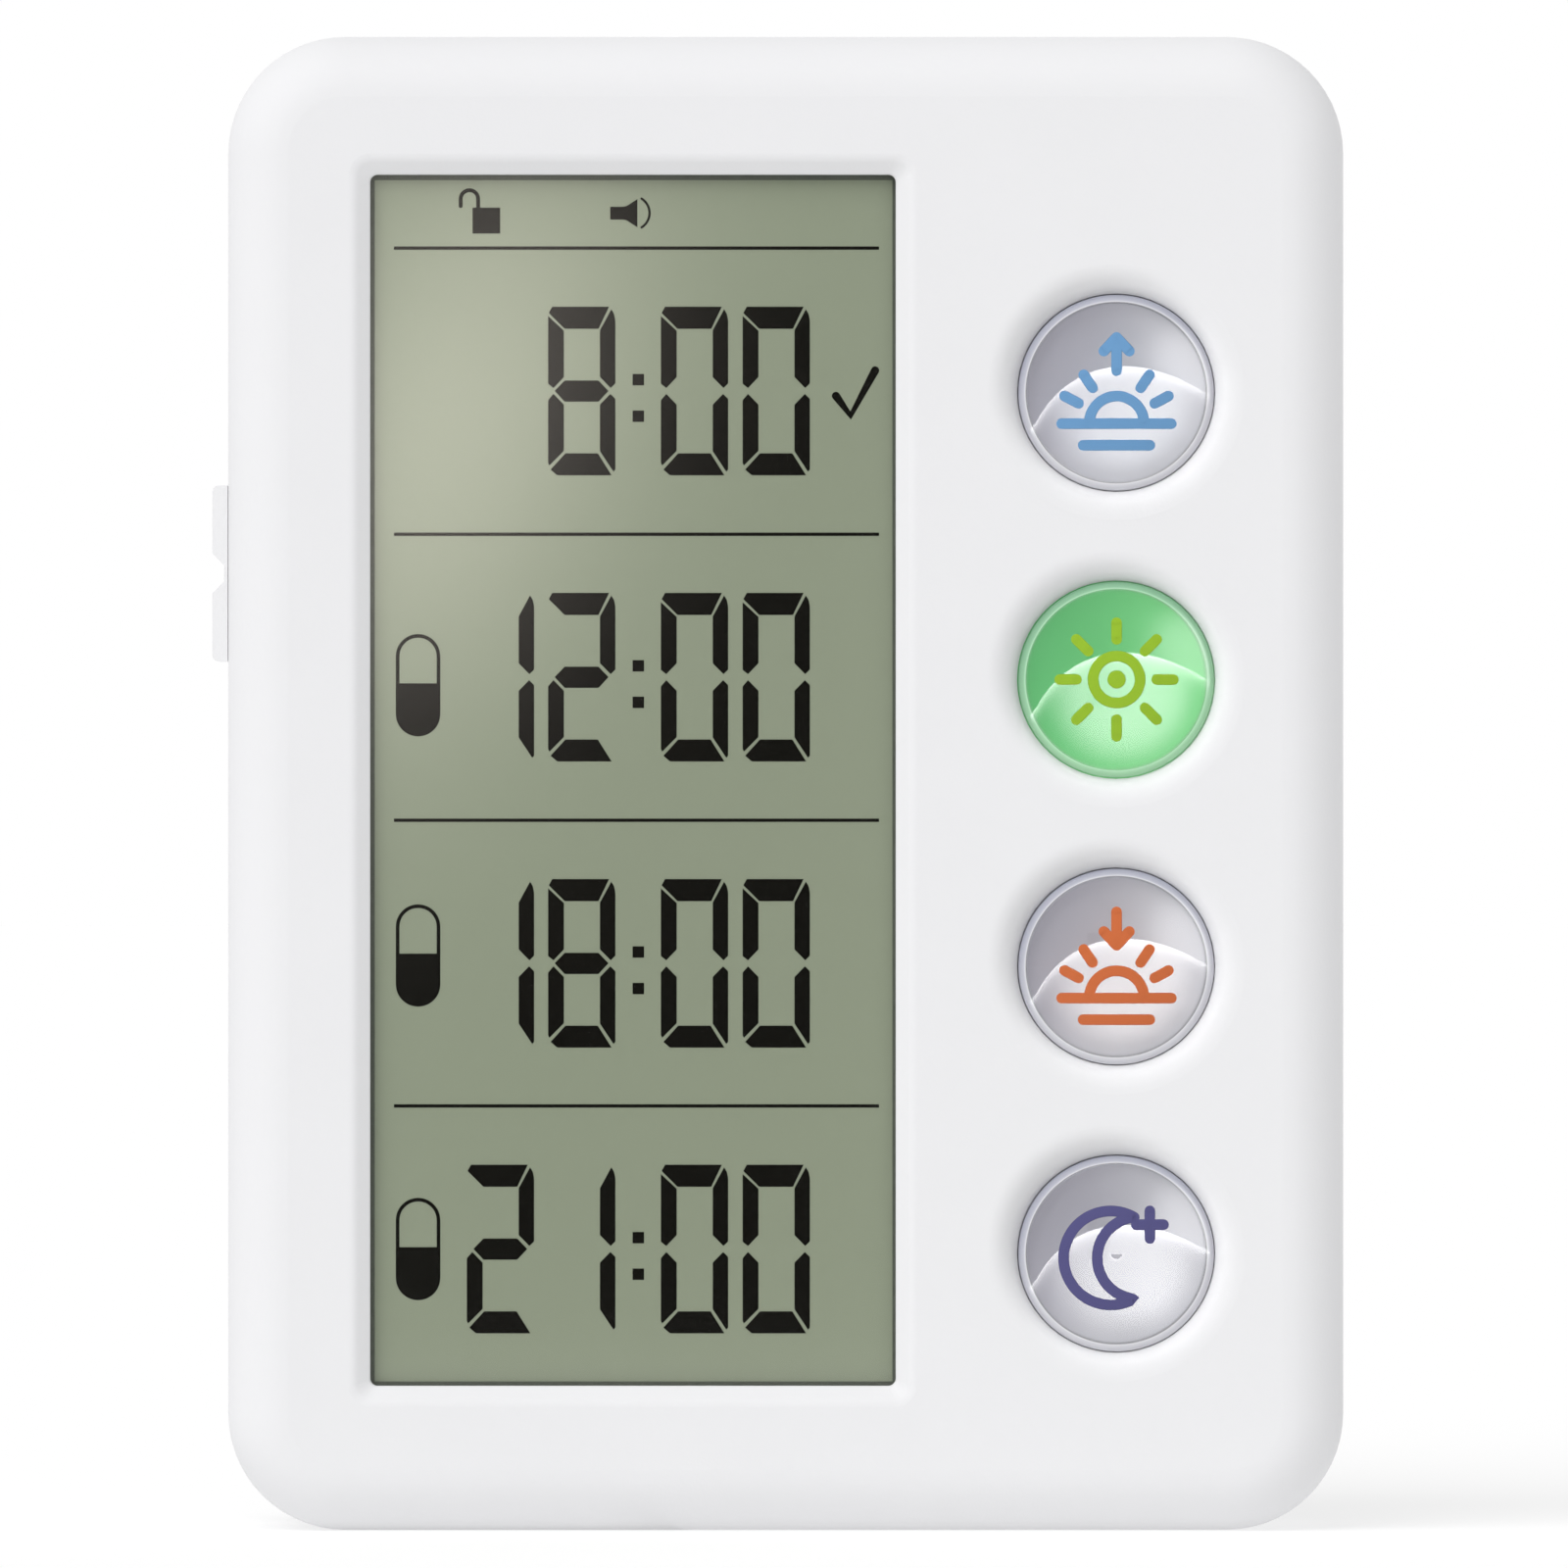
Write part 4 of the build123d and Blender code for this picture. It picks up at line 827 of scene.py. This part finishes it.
def cross_screws(node, head_radius, head_height, shank_radius):
    """Screws that point forwards, each with a rounded head and a cross sunk into it."""
    low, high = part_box(node)
    front, rear = low[1], high[1]
    recess_arm, recess_half_width = head_radius * 0.62, head_radius * 0.15
    recess_depth, recess_taper = head_height * 0.6, 0.55
    rim_rounding = head_height * 0.3
    tip_radius = shank_radius * 0.4
    mesh = bmesh.new()
    for x, z in ((x, z) for x in (low[0] + head_radius, high[0] - head_radius)
                 for z in (low[2] + head_radius, high[2] - head_radius)):
        place = Matrix.Translation((x, rear, z)) @ Matrix.Rotation(-pi / 2, 4, "X")
        rim = bmesh.ops.create_circle(
            mesh, cap_ends=False, segments=48, radius=head_radius, matrix=place)["verts"]
        rim_edges = list({edge for vert in rim for edge in vert.link_edges})
        corners = [mesh.verts.new(place @ Vector((a, b, 0)))
                   for a, b in cross_corners(recess_arm, recess_half_width)]
        cross_edges = [mesh.edges.new((corners[n - 1], corners[n])) for n in range(12)]
        bmesh.ops.triangle_fill(
            mesh, use_beauty=True, use_dissolve=False, edges=rim_edges + cross_edges)
        for edges, depth, narrowed in (
            (cross_edges, recess_depth, recess_taper), (rim_edges, head_height, 1.0),
        ):
            sunk = bmesh.ops.extrude_edge_only(mesh, edges=edges)
            verts = move_new(mesh, sunk, -depth)
            bmesh.ops.scale(
                mesh, vec=(narrowed, 1, narrowed), space=Matrix.Translation((-x, 0, -z)),
                verts=verts)
            bmesh.ops.contextual_create(mesh, geom=[
                part for part in sunk["geom"] if isinstance(part, bmesh.types.BMEdge)
                and all(vert in verts for vert in part.verts)])
        bmesh.ops.bevel(
            mesh, geom=rim_edges, offset=rim_rounding, offset_type="OFFSET", segments=4,
            affect="EDGES", profile=0.5, material=-1)
        shank = rear - head_height - front
        bmesh.ops.create_cone(
            mesh, cap_ends=True, segments=24, radius1=tip_radius, radius2=shank_radius,
            depth=shank, matrix=place @ Matrix.Translation((0, 0, -head_height - shank / 2)))
    bmesh.ops.recalc_face_normals(mesh, faces=mesh.faces)
    screws = add_mesh(f"{node}_crossed", mesh, screw_zinc)
    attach(screws, "casing")
    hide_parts(node)


screw_zinc = metal("steel", (0.6, 0.61, 0.63), 0.28)
cross_screws("board_screws", 1.9 * mm, 1.0 * mm, 0.98 * mm)
cross_screws("case_screws", 2.1 * mm, 1.4 * mm, 0.98 * mm)


# Sounder: a brass disc carries a silvered ceramic disc and sits behind the sound holes. Two
# thin leads join it to the board.
dress(metal("brass", (0.78, 0.58, 0.26), 0.3), "piezo_disc")
dress(moulded("ceramic_coat", (0.72, 0.71, 0.68), 0.35, mottle=0.1), "piezo_ceramic")
dress(moulded("red_lead", (0.5, 0.03, 0.025), 0.4, mottle=0.08), "piezo_leads")


# Magnets: two nickel-plated discs, glued into round seats in the rear casing and flush with
# its face.
dress(metal("nickel", (0.5, 0.495, 0.475), 0.3), "magnets")


# Battery contacts: nickel-plated spring steel, stamped to flat plates and bent leaves. Their
# tails go through the well's floor to the board.
dress(metal("bright_steel", (0.66, 0.65, 0.62), 0.22, (0.1, 1, 1)),
      "battery_springs", "battery_contacts")


# Battery cells: two lie in the well, pointing opposite ways. Each has a printed sleeve, dark
# with a copper band and a pale line at the positive end, and bare steel ends.
sleeve_dark = (0.03, 0.035, 0.05)
band_length = 9 * mm
positive_steel = 1.35 * mm
negative_steel = 0.45 * mm
soft_edge = 0.05 * mm


def past(start, value, edge):
    """1 past the edge, with a soft step."""
    return fade(start, value, edge - soft_edge, edge + soft_edge)


for node, side in (("battery_1", 1), ("battery_2", -1)):
    sleeve, start, shader = new_finish(
        f"cell_label_{side}", sleeve_dark, 0.3, Coat_Weight=0.3)
    low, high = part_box(node)
    x, z = across_and_up(start)
    along = (x - (low[0] + high[0]) / 2) * side
    half = (high[0] - low[0]) / 2
    copper = past(start, along, half - band_length)
    bare = start.maths("MAXIMUM", past(start, along, half - positive_steel),
                       past(start, along * -1, half - negative_steel))
    off_line = start.maths("ABSOLUTE", along - (half - band_length - 1 * mm))
    line = past(start, off_line * -1, -0.3 * mm)
    tone = mixed(start, copper, sleeve_dark, (0.7, 0.36, 0.18))
    tone = mixed(start, line, tone, (0.8, 0.8, 0.8))
    start.feed(shader["Base Color"], mixed(start, bare, tone, (0.7, 0.7, 0.69)))
    start.feed(shader["Metallic"], start.maths("MAXIMUM", copper * 0.8, bare))
    start.feed(shader["Roughness"], 0.25 + noise(start, 1.5 * mm) * 0.12)
    dress(sleeve, node)


# Battery door: a white panel with two hooks and a springing latch. Ribs help the finger, and
# a grey arrow shows which way to press.
def grip_ribs(half_length, face, heights, lift, width=0.8 * mm):
    """Level ribs on a rear face, raised by lift above it."""
    return strokes([[Vector((-half_length, face, z)), Vector((half_length, face, z))]
                    for z in heights], width, lift)


door_white = moulded("door_white", casing_white)
dress(door_white, "battery_door")
low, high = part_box("battery_door")
door_top, door_face = high[2], high[1]
rib_heights = [door_top - drop * mm for drop in (1.9, 3.5, 5.1)]
ribs = add_mesh(
    "door_ribs", grip_ribs(3.6 * mm, door_face, rib_heights, lift=0.35 * mm), door_white)
arrow_sunk = 0.05 * mm
arrow_thickness = 0.17 * mm
mesh = bmesh.new()
flat_shape(mesh, [Vector((x * mm, door_face - arrow_sunk, door_top - drop * mm))
                  for x, drop in ((-2.6, 10.6), (2.6, 10.6), (0, 13.6))], arrow_thickness)
bmesh.ops.recalc_face_normals(mesh, faces=mesh.faces)
arrow = add_mesh("door_arrow", mesh, moulded("arrow_grey", (0.3, 0.3, 0.32), 0.5))
for piece, slot in ((ribs, "white_casing"), (arrow, "grey_button")):
    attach(piece, "battery_door")


# Stand: a white moulded flap on two stub pins, which snap into the rear casing. It has a
# notch for the fingernail and three grip ribs.
stand_white = moulded("stand_white", casing_white)
dress(stand_white, "stand")
low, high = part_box("stand")
rib_heights = [low[2] + rise * mm for rise in (4.4, 6.0, 7.6)]
ribs = add_mesh(
    "stand_ribs", grip_ribs(5 * mm, high[1], rib_heights, lift=0.19 * mm), stand_white)
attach(ribs, "stand")


# Setting buttons: three small grey plastic buttons at the rear. Plain signs are moulded
# above them: down, a clock's face, and up.
dress(moulded("grey_button", (0.45, 0.45, 0.47), 0.55, mottle=0.05),
      "back_button", "set_button", "forward_button")
rear_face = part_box("rear_casing")[1][1]
low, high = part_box("set_button")
sign_z = (low[2] + high[2]) / 2 + 5.6 * mm
setting_pitch = 13
clock_radius = 1.3


def rear_point(x, z):
    """A point on the rear face, in mm from the middle of the row of signs."""
    return Vector((x * mm, rear_face, sign_z + z * mm))


lines = [
    *([rear_point(side * setting_pitch - 1.3, side * -0.6),
       rear_point(side * setting_pitch, side * 0.7),
       rear_point(side * setting_pitch + 1.3, side * -0.6)] for side in (-1, 1)),
    [rear_point(clock_radius * cos(radians(turn)), clock_radius * sin(radians(turn)))
     for turn in range(0, 361, 12)],
    [rear_point(0, 0.75), rear_point(0, 0), rear_point(0.5, -0.3)],
]
marks = add_mesh("set_signs", strokes(lines, width=0.42 * mm, lift=0.12 * mm),
                 moulded("sign_grey", (0.3, 0.3, 0.32), 0.5))
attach(marks, "casing")
